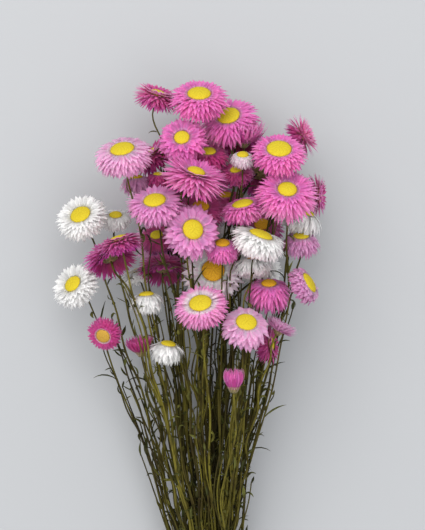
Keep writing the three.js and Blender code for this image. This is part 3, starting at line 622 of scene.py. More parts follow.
def papery(name, pale, main, deep, tips, glow=PINK_GLOW, pale_to=0.3):
    """Dry bract: pale where it leaves the disc, its own colour along it, deeper in the lower rows,
    with fine ribs lengthwise and a tint that differs a little from bract to bract."""
    material, tree, shader = new_material(name)
    row, tint, in_cup = grown(tree)
    over, along, _ = parted(tree, node(tree, "UVMap", uv_map="along").outputs[0])
    ribs_place = node(tree, "CombineXYZ")
    for socket, (source, patches) in enumerate(zip((over, along, tint), RIBS)):
        stretched = node(tree, "Math", operation="MULTIPLY", sockets={1: patches})
        tree.links.new(source, stretched.inputs[0])
        tree.links.new(stretched.outputs[0], ribs_place.inputs[socket])
    ribs = noise(tree, ribs_place.outputs[0], scale=1.0, detail=3.0, roughness=0.6)
    base = ranged(tree, along, 0.5 * pale_to, pale_to)
    colour = mixed(tree, "MIX", base, linear(pale), linear(main))
    colour = mixed(tree, "MIX", ranged(tree, along, 0.72, 1.0, 0.0, 0.75), colour, linear(tips))
    colour = mixed(tree, "MIX", ranged(tree, row, 0.35, 1.0, 0.0, 0.85), colour, linear(deep))
    shade = ranged(tree, ribs, 0.3, 0.7, 0.86, 1.1)
    grey = node(tree, "CombineXYZ")
    for socket in grey.inputs:
        tree.links.new(shade, socket)
    colour = mixed(tree, "MULTIPLY", 0.8, colour, grey.outputs[0])
    warm = node(tree, "HueSaturation", sockets={"Saturation": 1.0})
    for socket, (least, most) in TINTS.items():
        tree.links.new(ranged(tree, tint, 0.0, 1.0, least, most), warm.inputs[socket])
    tree.links.new(colour, warm.inputs["Color"])
    scaly = mixed(tree, "MIX", ranged(tree, along, 0.2, 0.9), *(linear(brown) for brown in CUP_BROWN))
    colour = mixed(tree, "MIX", in_cup, warm.outputs[0], scaly)
    tree.links.new(colour, shader.inputs["Base Color"])
    embossed(tree, shader, ribs, strength=0.2)
    tree.links.new(ranged(tree, ribs, 0.3, 0.7, 0.62, 0.5), shader.inputs["Roughness"])
    shader.inputs["Specular IOR Level"].default_value = 0.25
    shader.inputs["Sheen Weight"].default_value = 0.05
    shader.inputs["Sheen Roughness"].default_value = 0.5
    shader.inputs["Subsurface Weight"].default_value = 0.7
    shader.inputs["Subsurface Radius"].default_value = glow
    shader.inputs["Subsurface Scale"].default_value = 1.0
    return material


# Each paper's colour where it leaves the disc, along the bract, in the lower rows and at the tips
BRACT_PAPER = {
    "white": papery("bract_white", "#f7f6ee", "#fcfbfa", "#f0edeb", "#fdfdfd", WHITE_GLOW),
    "blush": papery("bract_blush", "#f6b0de", "#f2a0d8", "#d860b2", "#ea8ccc"),
    "pink": papery("bract_pink", "#f080c8", "#ee62bc", "#c22280", "#dc4ea8"),
    "magenta": papery("bract_magenta", "#d0488e", "#c42e7a", "#880c42", "#b8367a"),
    "mauve": papery("bract_mauve", "#eaa4d4", "#dc86c2", "#b0468a", "#ca72b0"),
    "candy": papery("bract_candy", "#f9cfe9", "#ee80c6", "#c22280", "#dc4ea8", pale_to=0.58),
    "cerise": papery("bract_cerise", "#e060a8", "#da3e92", "#a81c62", "#d04a96"),
    "rosy": papery("bract_rosy", "#f4b0d0", "#c42e7a", "#96174f", "#b8367a"),
    "rose": papery("bract_rose", "#f094d0", "#e87ec8", "#be4a98", "#d872b6"),
    # A darker, redder copy of the mauve paper: painted shade for heads deep in the bunch
    "shaded_crimson": papery("bract_crimson", "#c04c84", "#b63070", "#780e38", "#a4306c"),
    "faded": papery("bract_faded", "#faf0f6", "#f2d4e6", "#dca8c8", "#ecc8de"),
}
# Mauve and magenta heads deep inside the bunch take the crimson paper, as painted shade
OWN_PAPER = {
    "pink_9": "candy", "magenta_1": "cerise", "magenta_7": "cerise", "magenta_11": "rosy",
    "mauve_5": "faded", "mauve_9": "faded", "mauve_7": "blush",
    "blush_2": "rose", "blush_3": "rose", "magenta_9": "pink",
    "mauve_2": "shaded_crimson", "mauve_4": "shaded_crimson", "mauve_10": "shaded_crimson",
    "mauve_11": "shaded_crimson", "magenta_14": "shaded_crimson", "magenta_6": "shaded_crimson",
}


def floury(name, top, rim, gap_shade_and_grain):
    """Floret yellow with painted shade: darker between florets and down at the rim, lighter on each floret's
    top.
    """
    material, tree, shader = new_material(name)
    _, on_floret, height = grown(tree)
    grain = noise(tree, node(tree, "TexCoord").outputs["Object"], scale=1500.0, detail=2.0)
    # Painted shade: darker down the dome towards its rim
    colour = mixed(tree, "MIX", ranged(tree, height, 0.45, -0.15), linear(top), linear(rim))
    # Painted shade between the florets, then fine random grain in the same darker yellow
    colour = mixed(tree, "MIX", ranged(tree, on_floret, 0.55, 0.05, 0.0, 0.55), colour, linear(gap_shade_and_grain))
    colour = mixed(tree, "MIX", ranged(tree, grain, 0.45, 0.75, 0.0, 0.35), colour, linear(gap_shade_and_grain))
    tree.links.new(colour, shader.inputs["Base Color"])
    embossed(tree, shader, grain, strength=0.5)
    shader.inputs["Roughness"].default_value = 0.8
    shader.inputs["Specular IOR Level"].default_value = 0.15
    return material


# Each disc's yellow on the floret tops, its painted shade at the rim, and its painted shade between florets,
# which the grain uses too
DISC_FLOUR = {
    "yellow": floury("disc_yellow", "#c6b42a", "#7a661a", "#a2861c"),
    "amber": floury("disc_amber", "#cc9a24", "#7a5414", "#8c5c14"),
    "young": floury("disc_young", "#b8983a", "#8a5840", "#8c4c30"),
}
AMBER_HEADS = ("mauve_5", "pink_8", "magenta_9", "mauve_4", "mauve_11", "white_6", "magenta_14")
OWN_FLOUR = {"magenta_11": "young"} | dict.fromkeys(AMBER_HEADS, "amber")

together = {name for pair in GROWN_TOGETHER for name in pair}
for members in [(name,) for name in names if name not in together] + GROWN_TOGETHER:
    kind = members[0].split("_")[0]
    own_name = "_".join([kind, *(member.split("_")[1] for member in members)])
    node_name = ("bloom_" if len(members) == 1 else "blooms_") + own_name
    numbers = [number_of[name] for name in members]
    made = joined([bracts_and_cup(number) for number in numbers])
    paper = BRACT_PAPER[OWN_PAPER.get(members[0], kind)]
    piece("bracts_" + own_name, *made, paper, "bracts_" + kind, node_name)
    made = joined([disc_part(number) for number in numbers])
    flour = DISC_FLOUR[OWN_FLOUR.get(members[0], "yellow")]
    piece("disc_" + own_name, *made, flour, "disc", node_name)

# Stems and their leaves
# Thin woody stems, olive green dried to brown, that run together into the tie and fan out above
# it to the heads. Some fork under a side head. Narrow leaves, curled by drying, grow on them.

TIE_HEIGHT = 22.6
AXIS_RISE = 0.1
CUT_END_Y = -62
CUT_END_RAGGED = 7
CUT_END_FLARE = 0.5
STEM_RADIUS = 1.2
STEM_PITCH = 2.55
GROUP_COUNT = 6
GROUP_STEMS = 7
GROUP_RING_RADIUS = 7.9
NECK_GAP = 0.5
NECK_LENGTH = 8
SPREAD_POWER = 1.3
SQUEEZED_Y = 6
LEVEL_STEP = 8
APART = 3.1
APART_LEVELS = 4  # over this many levels above the tie the stems part from their pitch there
HEAD_MARGIN = 2.6
ROUNDS = 240
STIFFNESS = 0.35
YIELD = 0.5
LEAST_WAY = 1e-9
LEAST_DISTANCE = 1e-6
# A side head, the head whose stem it forks off, and the height of the fork above the tie
FORKS = [
    ("magenta_5", "magenta_4", 236), ("mauve_1", "magenta_3", 286), ("magenta_8", "white_4", 256),
    ("pink_13", "pink_12", 280), ("magenta_16", "magenta_15", 284), ("blush_5", "blush_4", 244),
    ("white_11", "white_10", 226),
]
BRANCH_BOW = 0.06  # of a branch's length, upwards at its middle
INTO_CUP = 1

cup_end = place - facing * (cup_depth + NECK_GAP)[:, None]
neck = cup_end - facing * NECK_LENGTH
in_cup_end = place - facing * (cup_depth - INTO_CUP)[:, None]
forked = [number_of[fork[0]] for fork in FORKS]


def axis_height(y):
    """The bunch's axis rises evenly from the tie: TIE_HEIGHT + AXIS_RISE y."""
    return TIE_HEIGHT + AXIS_RISE * y


# The stems in groups: those nearest the axis in the middle, six groups round them by angle. In
# the tie, a group has one stem in its middle and the others in a ring round it, by angle too.
upright = np.array([n for n in range(len(names)) if n not in forked])
off_x = neck[upright, 0]
off_z = neck[upright, 2] - axis_height(neck[upright, 1])
by_offset = np.argsort(np.hypot(off_x, off_z), kind="stable")
middle_count = len(upright) - GROUP_STEMS * GROUP_COUNT
outer = by_offset[middle_count:]
outer = outer[np.argsort(np.arctan2(off_z[outer], off_x[outer]), kind="stable")]
groups = [by_offset[:middle_count], *outer.reshape(GROUP_COUNT, GROUP_STEMS)]
slot_of = np.zeros((len(upright), 2))
group_of = np.zeros(len(upright), int)
for number, group in enumerate(groups):
    turn = (number - 0.5) / GROUP_COUNT * 2 * np.pi - np.pi
    centre = np.array([np.cos(turn), np.sin(turn)]) * (GROUP_RING_RADIUS if number else 0)
    dx, dz = off_x[group] - off_x[group].mean(), off_z[group] - off_z[group].mean()
    order = np.argsort(np.hypot(dx, dz), kind="stable")
    around = np.arctan2(dz, dx)
    slot_of[group[order[0]]] = centre
    ring = order[1:][np.argsort(around[order[1:]], kind="stable")]
    angle = around[ring[0]] + np.arange(len(ring)) / len(ring) * 2 * np.pi
    slot_of[group[ring]] = centre + STEM_PITCH * np.stack([np.cos(angle), np.sin(angle)], 1)
    group_of[group] = number
stem_order = np.concatenate([groups[0], outer])
upright, slot_of, group_of = upright[stem_order], slot_of[stem_order], group_of[stem_order]

# Each stem at levels LEVEL_STEP apart, from its slot in the tie to its head's neck
stem_neck = neck[upright]
level_count = np.ceil((stem_neck[:, 1] - SQUEEZED_Y) / LEVEL_STEP).astype(int)
most = level_count.max()
level = np.arange(most)[None, :]
last = (level == level_count[:, None] - 1)
used = (level < level_count[:, None])
level_y = np.where(last, stem_neck[:, 1:2], SQUEEZED_Y + LEVEL_STEP * level)
share = np.clip((level_y - SQUEEZED_Y) / (stem_neck[:, 1:2] - SQUEEZED_Y), 0, 1) ** SPREAD_POWER
rise = stem_neck[:, 2:3] - axis_height(stem_neck[:, 1:2])
level_x = slot_of[:, :1] + (stem_neck[:, :1] - slot_of[:, :1]) * share
level_z = axis_height(level_y) + slot_of[:, 1:] + (rise - slot_of[:, 1:]) * share
level_x = np.where(last, stem_neck[:, :1], level_x)
level_z = np.where(last, stem_neck[:, 2:3], level_z)

# Round each head is a flattened ball that stems keep out of. Where the bracts fold back, its
# middle is further behind the disc and it is thicker and narrower.
up_share = np.sin(lift)
push_back = half_width * (0.2 - 0.35 * up_share)
push_thick = half_width * (0.3 + 0.4 * np.abs(up_share)) + HEAD_MARGIN
push_wide = half_width * np.maximum(np.cos(np.minimum(0, lift) * 0.8), 0.5) + HEAD_MARGIN


def push_from_heads(points):
    """How far each point must go in x and z to leave each head's flattened ball.

    With d from the ball's middle, a = d.facing and c the rest: inside = (a / thick)^2 + (c / wide)^2.
    The way out is c / wide^2 + facing a / thick^2, the depth (1 - sqrt(inside)) thick.
    """
    away = points[..., None, :] - place + facing * push_back[:, None]
    along = np.einsum("...hc,hc->...h", away, facing)
    rest = away - along[..., None] * facing
    inside = (along / push_thick) ** 2 + np.einsum("...c,...c->...", rest, rest) / push_wide**2
    way = rest / push_wide[:, None] ** 2 + facing * (along / push_thick**2)[..., None]
    size = np.hypot(way[..., 0], way[..., 2])
    depth = np.where((inside < 1) & (size > LEAST_WAY), (1 - np.sqrt(inside)) * push_thick, 0)
    return way[..., [0, 2]] / np.maximum(size, LEAST_WAY)[..., None] * depth[..., None]


# The stems push each other apart level by level, and bend clear of the heads but their own and
# of the table. Each shift is shared with the levels above and below, so the stems stay smooth.
shift = np.zeros((len(upright), most, 2))
own = np.zeros((len(upright), most, len(names)), bool)
own[np.arange(len(upright)), level_count - 1, upright] = True
apart = STEM_PITCH + (APART - STEM_PITCH) * np.minimum(1, np.arange(most) / APART_LEVELS)
free = used & ~last & (level > 0)
pairs = free[:, None, :] & free[None, :, :] & ~np.eye(len(upright), dtype=bool)[:, :, None]
for _ in range(ROUNDS):
    now = np.stack([level_x + shift[..., 0], level_z + shift[..., 1]], -1)
    gap = now[:, None] - now[None]
    distance = np.hypot(gap[..., 0], gap[..., 1]) + LEAST_DISTANCE
    push = np.where(pairs & (distance < apart), 0.5 * (apart - distance) / distance, 0)
    move = np.einsum("abk,abkc->akc", push, gap)
    from_heads = push_from_heads(np.stack([now[..., 0], level_y, now[..., 1]], -1))
    move += np.where(own[..., None], 0, from_heads).sum(2)
    move[..., 1] += np.maximum(0, STEM_RADIUS - now[..., 1])
    below = np.concatenate([shift[:, :1] * 0, shift[:, :-1]], 1)
    above = np.concatenate([shift[:, 1:], shift[:, :1] * 0], 1)
    above[last] = 0
    change = STIFFNESS * ((below + above) / 2 - shift) + YIELD * move
    shift = np.where((used & (level > 0))[..., None], shift + change, 0)


def random_run(seed):
    """The seeded run of numbers from 0 to 1 that the part's source also uses."""
    whole = 0xFFFFFFFF
    state = seed & whole
    while True:
        state = (state + 0x6D2B79F5) & whole
        m = ((state ^ (state >> 15)) * (state | 1)) & whole
        m ^= (m + ((m ^ (m >> 7)) * (m | 61) & whole)) & whole
        yield (m ^ (m >> 14)) / 4294967296


# The stems' lines: cut end, below the tie, above it level by level, and into the head's cup
ENDS_SEED = 77

end_random = random_run(ENDS_SEED)
lines = []
for s, head in enumerate(upright):
    n = level_count[s]
    end_y = CUT_END_Y + CUT_END_RAGGED * next(end_random)
    flare = 1 + CUT_END_FLARE * end_y / CUT_END_Y
    slot_x, slot_z = slot_of[s]
    levels = np.stack([level_x[s, :n] + shift[s, :n, 0], level_y[s, :n], level_z[s, :n] + shift[s, :n, 1]], 1)
    levels[0] = slot_x, SQUEEZED_Y, TIE_HEIGHT + slot_z
    lines.append(np.vstack([
        (slot_x * flare, end_y, axis_height(end_y) + slot_z * flare),
        (slot_x, -SQUEEZED_Y, TIE_HEIGHT + slot_z),
        levels,
        in_cup_end[head],
    ]))


def point_at(line, y):
    """The point of a stem's line at a height y above the tie, between the two points next to it."""
    i = int(np.argmax((line[1:, 1] >= y) & (line[:-1, 1] < y)))
    f = (y - line[i, 1]) / (line[i + 1, 1] - line[i, 1])
    return line[i] + (line[i + 1] - line[i]) * f


stem_of = {names[head]: s for s, head in enumerate(upright)}
branches = []
branch_group = []
for side_head, host, height in FORKS:
    number = number_of[side_head]
    root = point_at(lines[stem_of[host]], height)
    straight = neck[number] - root
    bowed = root + 0.5 * straight + np.array([0, BRANCH_BOW * np.linalg.norm(straight), 0])
    branches.append(np.array([root, bowed, neck[number], in_cup_end[number]]))
    branch_group.append(group_of[stem_of[host]])

SAMPLE_STEP = 4.0
WAVES = (18, 70)  # the half length of a stem's waves
STEADY = 30  # this far from its ends a line wanders fully
STEADY_TIE = 40  # and this far from the tie


def smooth_line(points, rng, wander):
    """A Catmull-Rom curve through the points, sampled every SAMPLE_STEP, and its running length.

    Between p1 and p2 it is ((2 p1) + (p2 - p0) t + (2 p0 - 5 p1 + 4 p2 - p3) t^2
    + (3 p1 - p0 - 3 p2 + p3) t^3) / 2. Three sine waves, each in its own direction, make it
    wander, but not at its ends nor in the tie.
    """
    p = np.vstack([2 * points[0] - points[1], points, 2 * points[-1] - points[-2]])
    lengths = np.linalg.norm(np.diff(points, axis=0), axis=1)
    counts = np.maximum(1, np.round(lengths / SAMPLE_STEP)).astype(int)
    segment = np.repeat(np.arange(len(counts)), counts)
    t = np.concatenate([np.arange(c) / c for c in counts])[:, None]
    p0, p1, p2, p3 = (p[segment + j] for j in range(4))
    curve = 0.5 * (
        2 * p1
        + (p2 - p0) * t
        + (2 * p0 - 5 * p1 + 4 * p2 - p3) * t**2
        + (3 * p1 - p0 - 3 * p2 + p3) * t**3
    )
    curve = np.vstack([curve, points[-1]])
    run = np.concatenate([[0], np.cumsum(np.linalg.norm(np.diff(curve, axis=0), axis=1))])
    waves = rng.uniform(*WAVES, (3, 1))
    phase = rng.uniform(0, 2 * np.pi, (3, 1))
    way = rng.normal(0, 1, (3, 3))
    from_end = np.minimum(run, run[-1] - run)
    hold = np.clip(from_end / STEADY, 0, 1) * np.clip(np.abs(curve[:, 1]) / STEADY_TIE, 0, 1)
    curve = curve + wander * hold[:, None] * (np.sin(run / waves * np.pi + phase).T @ way) / 2
    return curve, run


def unit(way):
    """A direction, or rows of them, made 1 long."""
    return way / np.linalg.norm(way, axis=-1, keepdims=True)


def square_to(along, way):
    """What of w is square to the direction a, made 1 long: w - (w . a) a."""
    return unit(way - (way * along).sum(-1, keepdims=True) * along)


CORNER_WAY = np.array([0.35, 0.0, -0.94])  # a section's first corner stands towards this
CUT_FACE = 0.8  # the cut face's radius, in shares of the stem's


def tube(curve, radii, tint, sides=8):
    """A round stem: a circle carried along the curve, r (cos b n + sin b (a x n)), a the curve's
    direction, n square to it and as near CORNER_WAY as it can be.

    One more and smaller ring at the foot is the cut face, which growth's third value marks.
    """
    curve = np.vstack([curve[:1], curve])
    radii = np.concatenate([CUT_FACE * radii[:1], radii])
    along = np.gradient(curve, axis=0)
    along[0] = along[1] = along[2]
    along = unit(along)
    normal = square_to(along, CORNER_WAY)
    other = np.cross(along, normal)
    turn = np.arange(sides) / sides * 2 * np.pi
    ring = np.cos(turn)[:, None] * normal[:, None] + np.sin(turn)[:, None] * other[:, None]
    points = (curve[:, None] + radii[:, None, None] * ring).reshape(-1, 3)
    round_it = np.tile(0.05 + 0.9 * turn / (2 * np.pi), len(curve))
    along_it = np.repeat(np.linspace(0, 1, len(curve)), sides)
    growth = np.tile([0.0, tint, 0.0], (len(points), 1))
    growth[:sides, 2] = 1
    return points, skin(len(curve), sides), np.stack([round_it, along_it], 1), growth


STEM_THICK = (0.85, 1.12)
STEM_TAPER = 0.42
STEM_SWELLING = 0.05
STEM_SWELLINGS = 0.37  # radians of their wave to a millimetre
STEM_ROUGH = 0.04
STEM_WANDER = 1.7
BRANCH_RADIUS = 0.78
BRANCH_TAPER = 0.1
BRANCH_WANDER = 0.2
STEMS_SEED = 8

stem_rng = np.random.default_rng(STEMS_SEED)
group_parts = [[] for _ in groups]
curves = []
for s, line in enumerate(lines):
    curve, run = smooth_line(line, stem_rng, STEM_WANDER)
    curves.append(curve)
    radii = stem_rng.uniform(*STEM_THICK) * (1 - STEM_TAPER * (run / run[-1]) ** 1.2)
    swollen = STEM_SWELLING * np.sin(run * STEM_SWELLINGS + stem_rng.uniform(0, 6))
    radii = radii * (1 + swollen + STEM_ROUGH * stem_rng.normal(0, 1, len(run)))
    group_parts[group_of[s]].append(tube(curve, radii, stem_rng.random()))
for line, group in zip(branches, branch_group):
    curve, run = smooth_line(line, stem_rng, BRANCH_WANDER)
    radii = BRANCH_RADIUS - BRANCH_TAPER * run / run[-1]
    group_parts[group].append(tube(curve, radii, stem_rng.random()))

# Leaves where the part's source has them, kept clear of other stems and of the heads
FIRST_LEAF = (22, 62)
LEAF_STEP = (34, 66)
LEAVES_END = 20
LEAF_LENGTH = (9, 21)
LEAF_WIDTH = (2, 2.6)
LEAF_CURL = (0.2, 1.1)
LEAF_RISE = 0.45
LEAF_MARGIN = 2.4
LEAF_HEIGHT = 1.5
LEAF_AHEAD = 4  # a leaf's stem runs towards the point this much higher
LEAF_LONGER = 1.03
LEAF_SLIMMER = 0.85
LEAF_CURLS = (0.3, 0.9)
LEAF_THICKNESS = 0.4
LEAVES_APART = 3.5
LEAVES_SEED = 5


def middle_of_leaf(root, along, out, length, curl, share):
    """A point on a leaf's chord, which bends away from the stem by LEAF_RISE + curl times share."""
    bend = LEAF_RISE + curl * share
    return root + length * share * (np.sin(bend) * out + np.cos(bend) * along)


all_lines = lines + branches
starts = np.concatenate([line[:-1] for line in all_lines])
ends = np.concatenate([line[1:] for line in all_lines])
owner = np.concatenate([np.full(len(line) - 1, number) for number, line in enumerate(all_lines)])


def clear_of_others(tips, own_line):
    """Whether points keep their distance from all other stems' segments and from the heads."""
    if (tips[:, 2] < LEAF_HEIGHT).any():
        return False
    others = owner != own_line
    a, b = starts[others], ends[others]
    run = b - a
    t = np.clip(((tips[:, None] - a) * run).sum(-1) / (run * run).sum(-1), 0, 1)
    near = np.linalg.norm(a + t[..., None] * run - tips[:, None], axis=-1)
    if (near < LEAF_MARGIN).any():
        return False
    return not np.abs(push_from_heads(tips)).any()


leaf_random = random_run(LEAVES_SEED)


def drawn(low, high):
    """The leaves' next random number, from low to high."""
    return low + (high - low) * next(leaf_random)


kept_tips = np.full((1, 3), np.inf)
leaf_rows = [[] for _ in groups]
for s, line in enumerate(lines):
    height = drawn(*FIRST_LEAF)
    while height < stem_neck[s, 1] - LEAVES_END:
        root = point_at(line, height)
        along = unit(point_at(line, height + LEAF_AHEAD) - root)
        normal = square_to(along, CORNER_WAY)
        out = normal * (1 if next(leaf_random) < 0.5 else -1)
        out = unit(out + np.cross(along, normal) * (1 if next(leaf_random) < 0.5 else -1))
        length = drawn(*LEAF_LENGTH)
        width = drawn(*LEAF_WIDTH)
        curl = drawn(*LEAF_CURL)
        tips = np.array([middle_of_leaf(root, along, out, length, curl, f) for f in (0.5, 0.8, 1)])
        far = np.linalg.norm(kept_tips[:, None] - tips, axis=-1).min() > LEAVES_APART
        if far and clear_of_others(tips, s):
            kept_tips = np.vstack([kept_tips, tips])
            leaf_rows[group_of[s]].append((point_at(curves[s], height), along, out, length, width, curl))
        height += drawn(*LEAF_STEP)
for rows, parts_here in zip(leaf_rows, group_parts):
    n = len(rows)
    root, along, out, length, width, curl = (np.array(column) for column in zip(*rows))
    parts_here.append(blades(
        root, along, out, length * LEAF_LONGER, width * LEAF_SLIMMER, rise=LEAF_RISE, bend=2 * curl,
        edge_curl=stem_rng.uniform(*LEAF_CURLS, n), twist=stem_rng.normal(0, 0.3, n),
        sway=stem_rng.normal(0, 0.05, n), slim=0.4, thickness=LEAF_THICKNESS,
        row=1, tint=stem_rng.random(n),
    ))

# Side shoots: thin, a finger long, close beside their stem, with a leaf at the end
SHOOTS = 4  # tried on each stem; a shoot that would come too near the head is left out
SHOOT_POINTS = 7
SHOOT_LENGTH = (45, 110)
SHOOT_FIRST_Y = 8
SHOOT_LAST_Y = 30  # or SHOOT_UNDER_NECK below the neck, where that is higher
SHOOT_UNDER_NECK = 100
SHOOT_HEAD_GAP = 12
SHOOT_ASIDE = (2.0, 8.0)
SHOOT_RADIUS = 0.7
SHOOT_TAPER = 0.3
SHOOT_WANDER = 1.5
SHOOT_LEAF_LENGTH = (5, 10)
SHOOT_LEAF_WIDTH = (1.6, 2.6)
SHOOT_LEAF_RISE = (-0.2, 0.6)
SHOOT_LEAF_BEND = (-1.5, 2.5)

shoot_ends = [[] for _ in groups]
for s, line in enumerate(curves):
    neck_y = stem_neck[s, 1]
    for _ in range(SHOOTS):
        start = stem_rng.uniform(SHOOT_FIRST_Y, max(SHOOT_LAST_Y, neck_y - SHOOT_UNDER_NECK))
        heights = start + np.linspace(0, stem_rng.uniform(*SHOOT_LENGTH), SHOOT_POINTS)
        heights = heights[heights < neck_y - SHOOT_HEAD_GAP]
        if len(heights) < 3:
            continue
        route = np.array([point_at(line, height) for height in heights])
        aside = unit(stem_rng.normal(0, 1, 3) * (1, 0, 0.8))
        away = np.linspace(0.15, 1, len(heights))[:, None] ** 1.4
        route = route + aside * away * stem_rng.uniform(*SHOOT_ASIDE)
        route[:, 2] = np.maximum(route[:, 2], 1)
        curve, run = smooth_line(route, stem_rng, SHOOT_WANDER)
        radii = SHOOT_RADIUS - SHOOT_TAPER * run / run[-1]
        group_parts[group_of[s]].append(tube(curve, radii, stem_rng.random(), sides=6))
        shoot_ends[group_of[s]].append((curve[-1], curve[-1] - curve[-2]))
for ends_here, parts_here in zip(shoot_ends, group_parts):
    n = len(ends_here)
    root, along = (np.array(column) for column in zip(*ends_here))
    along = unit(along)
    out = unit(np.cross(along, stem_rng.normal(0, 1, (n, 3))))
    parts_here.append(blades(
        root - 0.5 * along, along, out,
        length=stem_rng.uniform(*SHOOT_LEAF_LENGTH, n), width=stem_rng.uniform(*SHOOT_LEAF_WIDTH, n),
        rise=stem_rng.uniform(*SHOOT_LEAF_RISE, n), bend=stem_rng.uniform(*SHOOT_LEAF_BEND, n),
        edge_curl=0.6, sway=stem_rng.normal(0, 0.1, n), slim=0.5, thickness=LEAF_THICKNESS,
        row=1, tint=stem_rng.random(n),
    ))

# Small dry leaves, hooked and curled, all along the stems
SMALL_LEAF_STEP = 8
SMALL_LEAF_FIRST_Y = 14
SMALL_LEAF_HEAD_GAP = 10
SMALL_LEAF_AHEAD = 3
SMALL_LEAF_LENGTH = (3, 10)
SMALL_LEAF_WIDTH = (1.5, 2.8)
SMALL_LEAF_RISE = (0.2, 1.1)
SMALL_LEAF_BEND = (-2.2, 3.4)
SMALL_LEAF_THICKNESS = 0.3

for s, line in enumerate(curves):
    neck_y = stem_neck[s, 1]
    n = int((neck_y - SMALL_LEAF_HEAD_GAP) / SMALL_LEAF_STEP)
    reach = neck_y - SMALL_LEAF_HEAD_GAP - SMALL_LEAF_FIRST_Y
    heights = SMALL_LEAF_FIRST_Y + reach * ((np.arange(n) + stem_rng.random(n)) / n) ** 1.25
    root = np.array([point_at(line, height) for height in heights])
    ahead = np.array([point_at(line, height + SMALL_LEAF_AHEAD) for height in heights])
    along = unit(ahead - root)
    out = square_to(along, stem_rng.normal(0, 1, (n, 3)))
    group_parts[group_of[s]].append(blades(
        root + 0.6 * out, along, out,
        length=stem_rng.uniform(*SMALL_LEAF_LENGTH, n), width=stem_rng.uniform(*SMALL_LEAF_WIDTH, n),
        rise=stem_rng.uniform(*SMALL_LEAF_RISE, n), bend=stem_rng.uniform(*SMALL_LEAF_BEND, n),
        edge_curl=0.5, sway=stem_rng.normal(0, 0.1, n), slim=0.6, thickness=SMALL_LEAF_THICKNESS,
        row=0.8, tint=stem_rng.random(n),
    ))

STEM_OLIVE = ("#302c08", "#726b26")
STEM_BLOTCH = "#352a12"
LEAF_GREEN = ("#333a18", "#6c7038")
STREAK_SHADE = "#7d7450"
# Painted shade: the stems are multiplied darker between these heights, low in the bunch
PAINTED_LOW_SHADE = "#7a7458"
PAINTED_SHADE_HEIGHTS = (0.055, 0.02)  # metres above the table: the stems are duller down there
CUT_WOOD = "#b5a878"


def woody(name):
    """Dried stem: olive that differs from stem to stem, brown blotches and dark streaks along it,
    greyer green on the leaves, painted shade that darkens it low in the bunch, pale wood on the cut faces."""
    material, tree, shader = new_material(name)
    leafy, tint, cut = grown(tree)
    here = node(tree, "TexCoord").outputs["Object"]
    lengthwise = node(tree, "Mapping", sockets={"Scale": (700.0, 45.0, 700.0)})
    tree.links.new(here, lengthwise.inputs["Vector"])
    streaks = noise(tree, lengthwise.outputs[0], scale=1.0, detail=4.0, roughness=0.6)
    blotches = noise(tree, here, scale=60.0, detail=2.0)
    colour = mixed(tree, "MIX", ranged(tree, tint, 0.0, 1.0), *(linear(olive) for olive in STEM_OLIVE))
    colour = mixed(tree, "MIX", ranged(tree, blotches, 0.42, 0.66, 0.0, 0.7), colour, linear(STEM_BLOTCH))
    leaf = mixed(tree, "MIX", ranged(tree, tint, 0.4, 1.0), *(linear(green) for green in LEAF_GREEN))
    colour = mixed(tree, "MIX", ranged(tree, leafy, 0.5, 1.0, 0.0, 0.8), colour, leaf)
    dark = ranged(tree, streaks, 0.62, 0.36, 0.0, 0.6)
    colour = mixed(tree, "MULTIPLY", dark, colour, linear(STREAK_SHADE))
    # Painted shade, darker towards the table
    low = ranged(tree, parted(tree, here)[2], *PAINTED_SHADE_HEIGHTS, 0.0, 0.85)
    colour = mixed(tree, "MULTIPLY", low, colour, linear(PAINTED_LOW_SHADE))
    colour = mixed(tree, "MIX", cut, colour, linear(CUT_WOOD))
    tree.links.new(colour, shader.inputs["Base Color"])
    embossed(tree, shader, streaks, strength=0.9, distance=0.0004)
    tree.links.new(ranged(tree, streaks, 0.3, 0.7, 0.75, 0.55), shader.inputs["Roughness"])
    shader.inputs["Specular IOR Level"].default_value = 0.15
    return material


stem_wood = woody("stem_woody")
for number, parts_here in enumerate(group_parts):
    node_name = "leafy_stems_" + str(number + 1)
    piece("stems_" + str(number + 1), *joined(parts_here), stem_wood, "stems", node_name)

# Tie
# One tan rubber band, wound round the stems in turns side by side, with the last turn drawn back
# over the others. Rubber that has gone a little chalky.

BAND_TURNS = 3
BAND_WIDTH = 1.75
BAND_THICK = 1.5
BAND_PITCH = 1.8
BAND_BITE = 0.1  # how far the band is pressed into the outermost stems
BAND_WAVER = 0.1
CROSSING = 0.12  # the share of the band's length on which it crosses back over its turns
CROSSING_RISE = 0.9  # by this share of its thickness
CROSSING_ENDS = 0.03  # and this much longer, from before the crossing to its end
BAND_SAMPLES = 480
BAND_AROUND = 12


def rounded(value):
    """A cosine or sine made the side of a rounded rectangle: its size to the power 0.6."""
    return np.sign(value) * np.abs(value) ** 0.6


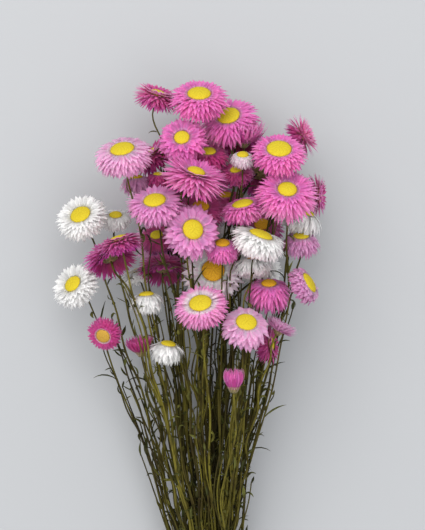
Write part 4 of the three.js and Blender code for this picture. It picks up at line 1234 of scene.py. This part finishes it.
def wound_band():
    """A closed loop, drawn tight round the outermost stems, turn beside turn, and back over them.

    With n the direction at angle a, and h(a) = max(c . n) + r over the stems' middles c, the
    stretched line round them goes through h n + h' n', where h' n' = (c . n') n' of that stem.
    Each point is then softened to the mean of seven. The section is a rounded rectangle.
    """
    t = np.arange(BAND_SAMPLES) / BAND_SAMPLES
    turn = 2 * np.pi * BAND_TURNS * t
    n = np.stack([np.cos(turn), np.sin(turn)], 1)
    aside = np.stack([-np.sin(turn), np.cos(turn)], 1)
    outermost = slot_of[np.argmax(slot_of @ n.T, axis=0)]
    over = np.clip((t - 1 + CROSSING_ENDS + CROSSING) / (CROSSING + CROSSING_ENDS), 0, 1)
    out = STEM_RADIUS - BAND_BITE + 0.5 * BAND_THICK
    out = out + CROSSING_RISE * BAND_THICK * np.sin(np.pi * over) ** 2
    flat_line = n * (np.sum(outermost * n, 1) + out)[:, None] + aside * np.sum(outermost * aside, 1)[:, None]
    softened = sum(np.roll(flat_line, k, axis=0) for k in range(-3, 4)) / 7
    half = 0.5 * BAND_PITCH * (BAND_TURNS - 1)
    back = np.clip((t - 1 + CROSSING) / CROSSING, 0, 1)
    y = half * (2 * np.minimum(t / (1 - CROSSING), 1) - 1) - 2 * half * back**2 * (3 - 2 * back)
    y = y + BAND_WAVER * np.sin(turn + 1)
    centre = np.stack([softened[:, 0], y, TIE_HEIGHT + softened[:, 1]], 1)
    along = unit(np.roll(centre, -1, 0) - np.roll(centre, 1, 0))
    outward = square_to(along, np.stack([n[:, 0], 0 * turn, n[:, 1]], 1))
    sideways = np.cross(along, outward)
    a = np.arange(BAND_AROUND) / BAND_AROUND * 2 * np.pi
    wide = 0.5 * BAND_WIDTH * rounded(np.cos(a))[:, None]
    thick = 0.5 * BAND_THICK * rounded(np.sin(a))[:, None]
    points = centre[:, None] + wide * sideways[:, None] + thick * outward[:, None]
    here = np.arange(BAND_SAMPLES * BAND_AROUND).reshape(BAND_SAMPLES, BAND_AROUND)
    beside = np.roll(here, -1, axis=1)
    faces = np.stack([here, np.roll(here, -1, axis=0), np.roll(beside, -1, axis=0), beside], -1)
    uv = np.stack([np.repeat(0.05 + 0.9 * t, BAND_AROUND), np.tile(a / (2 * np.pi), BAND_SAMPLES)], 1)
    return points.reshape(-1, 3), faces.reshape(-1, 4), uv, np.zeros((here.size, 3))


RUBBER_TAN = ("#a97c48", "#bd9260")


def chalky(name):
    """Rubber: two tans in fine uneven patches, the lighter ones more matt."""
    material, tree, shader = new_material(name)
    chalk = noise(tree, node(tree, "TexCoord").outputs["Object"], scale=900.0, detail=4.0)
    colour = mixed(tree, "MIX", ranged(tree, chalk, 0.4, 0.7), *(linear(tan) for tan in RUBBER_TAN))
    tree.links.new(colour, shader.inputs["Base Color"])
    embossed(tree, shader, chalk, strength=0.3)
    tree.links.new(ranged(tree, chalk, 0.3, 0.7, 0.45, 0.65), shader.inputs["Roughness"])
    return material


piece("rubber_band", *wound_band(), chalky("band_rubber"), "band", "tie_band")
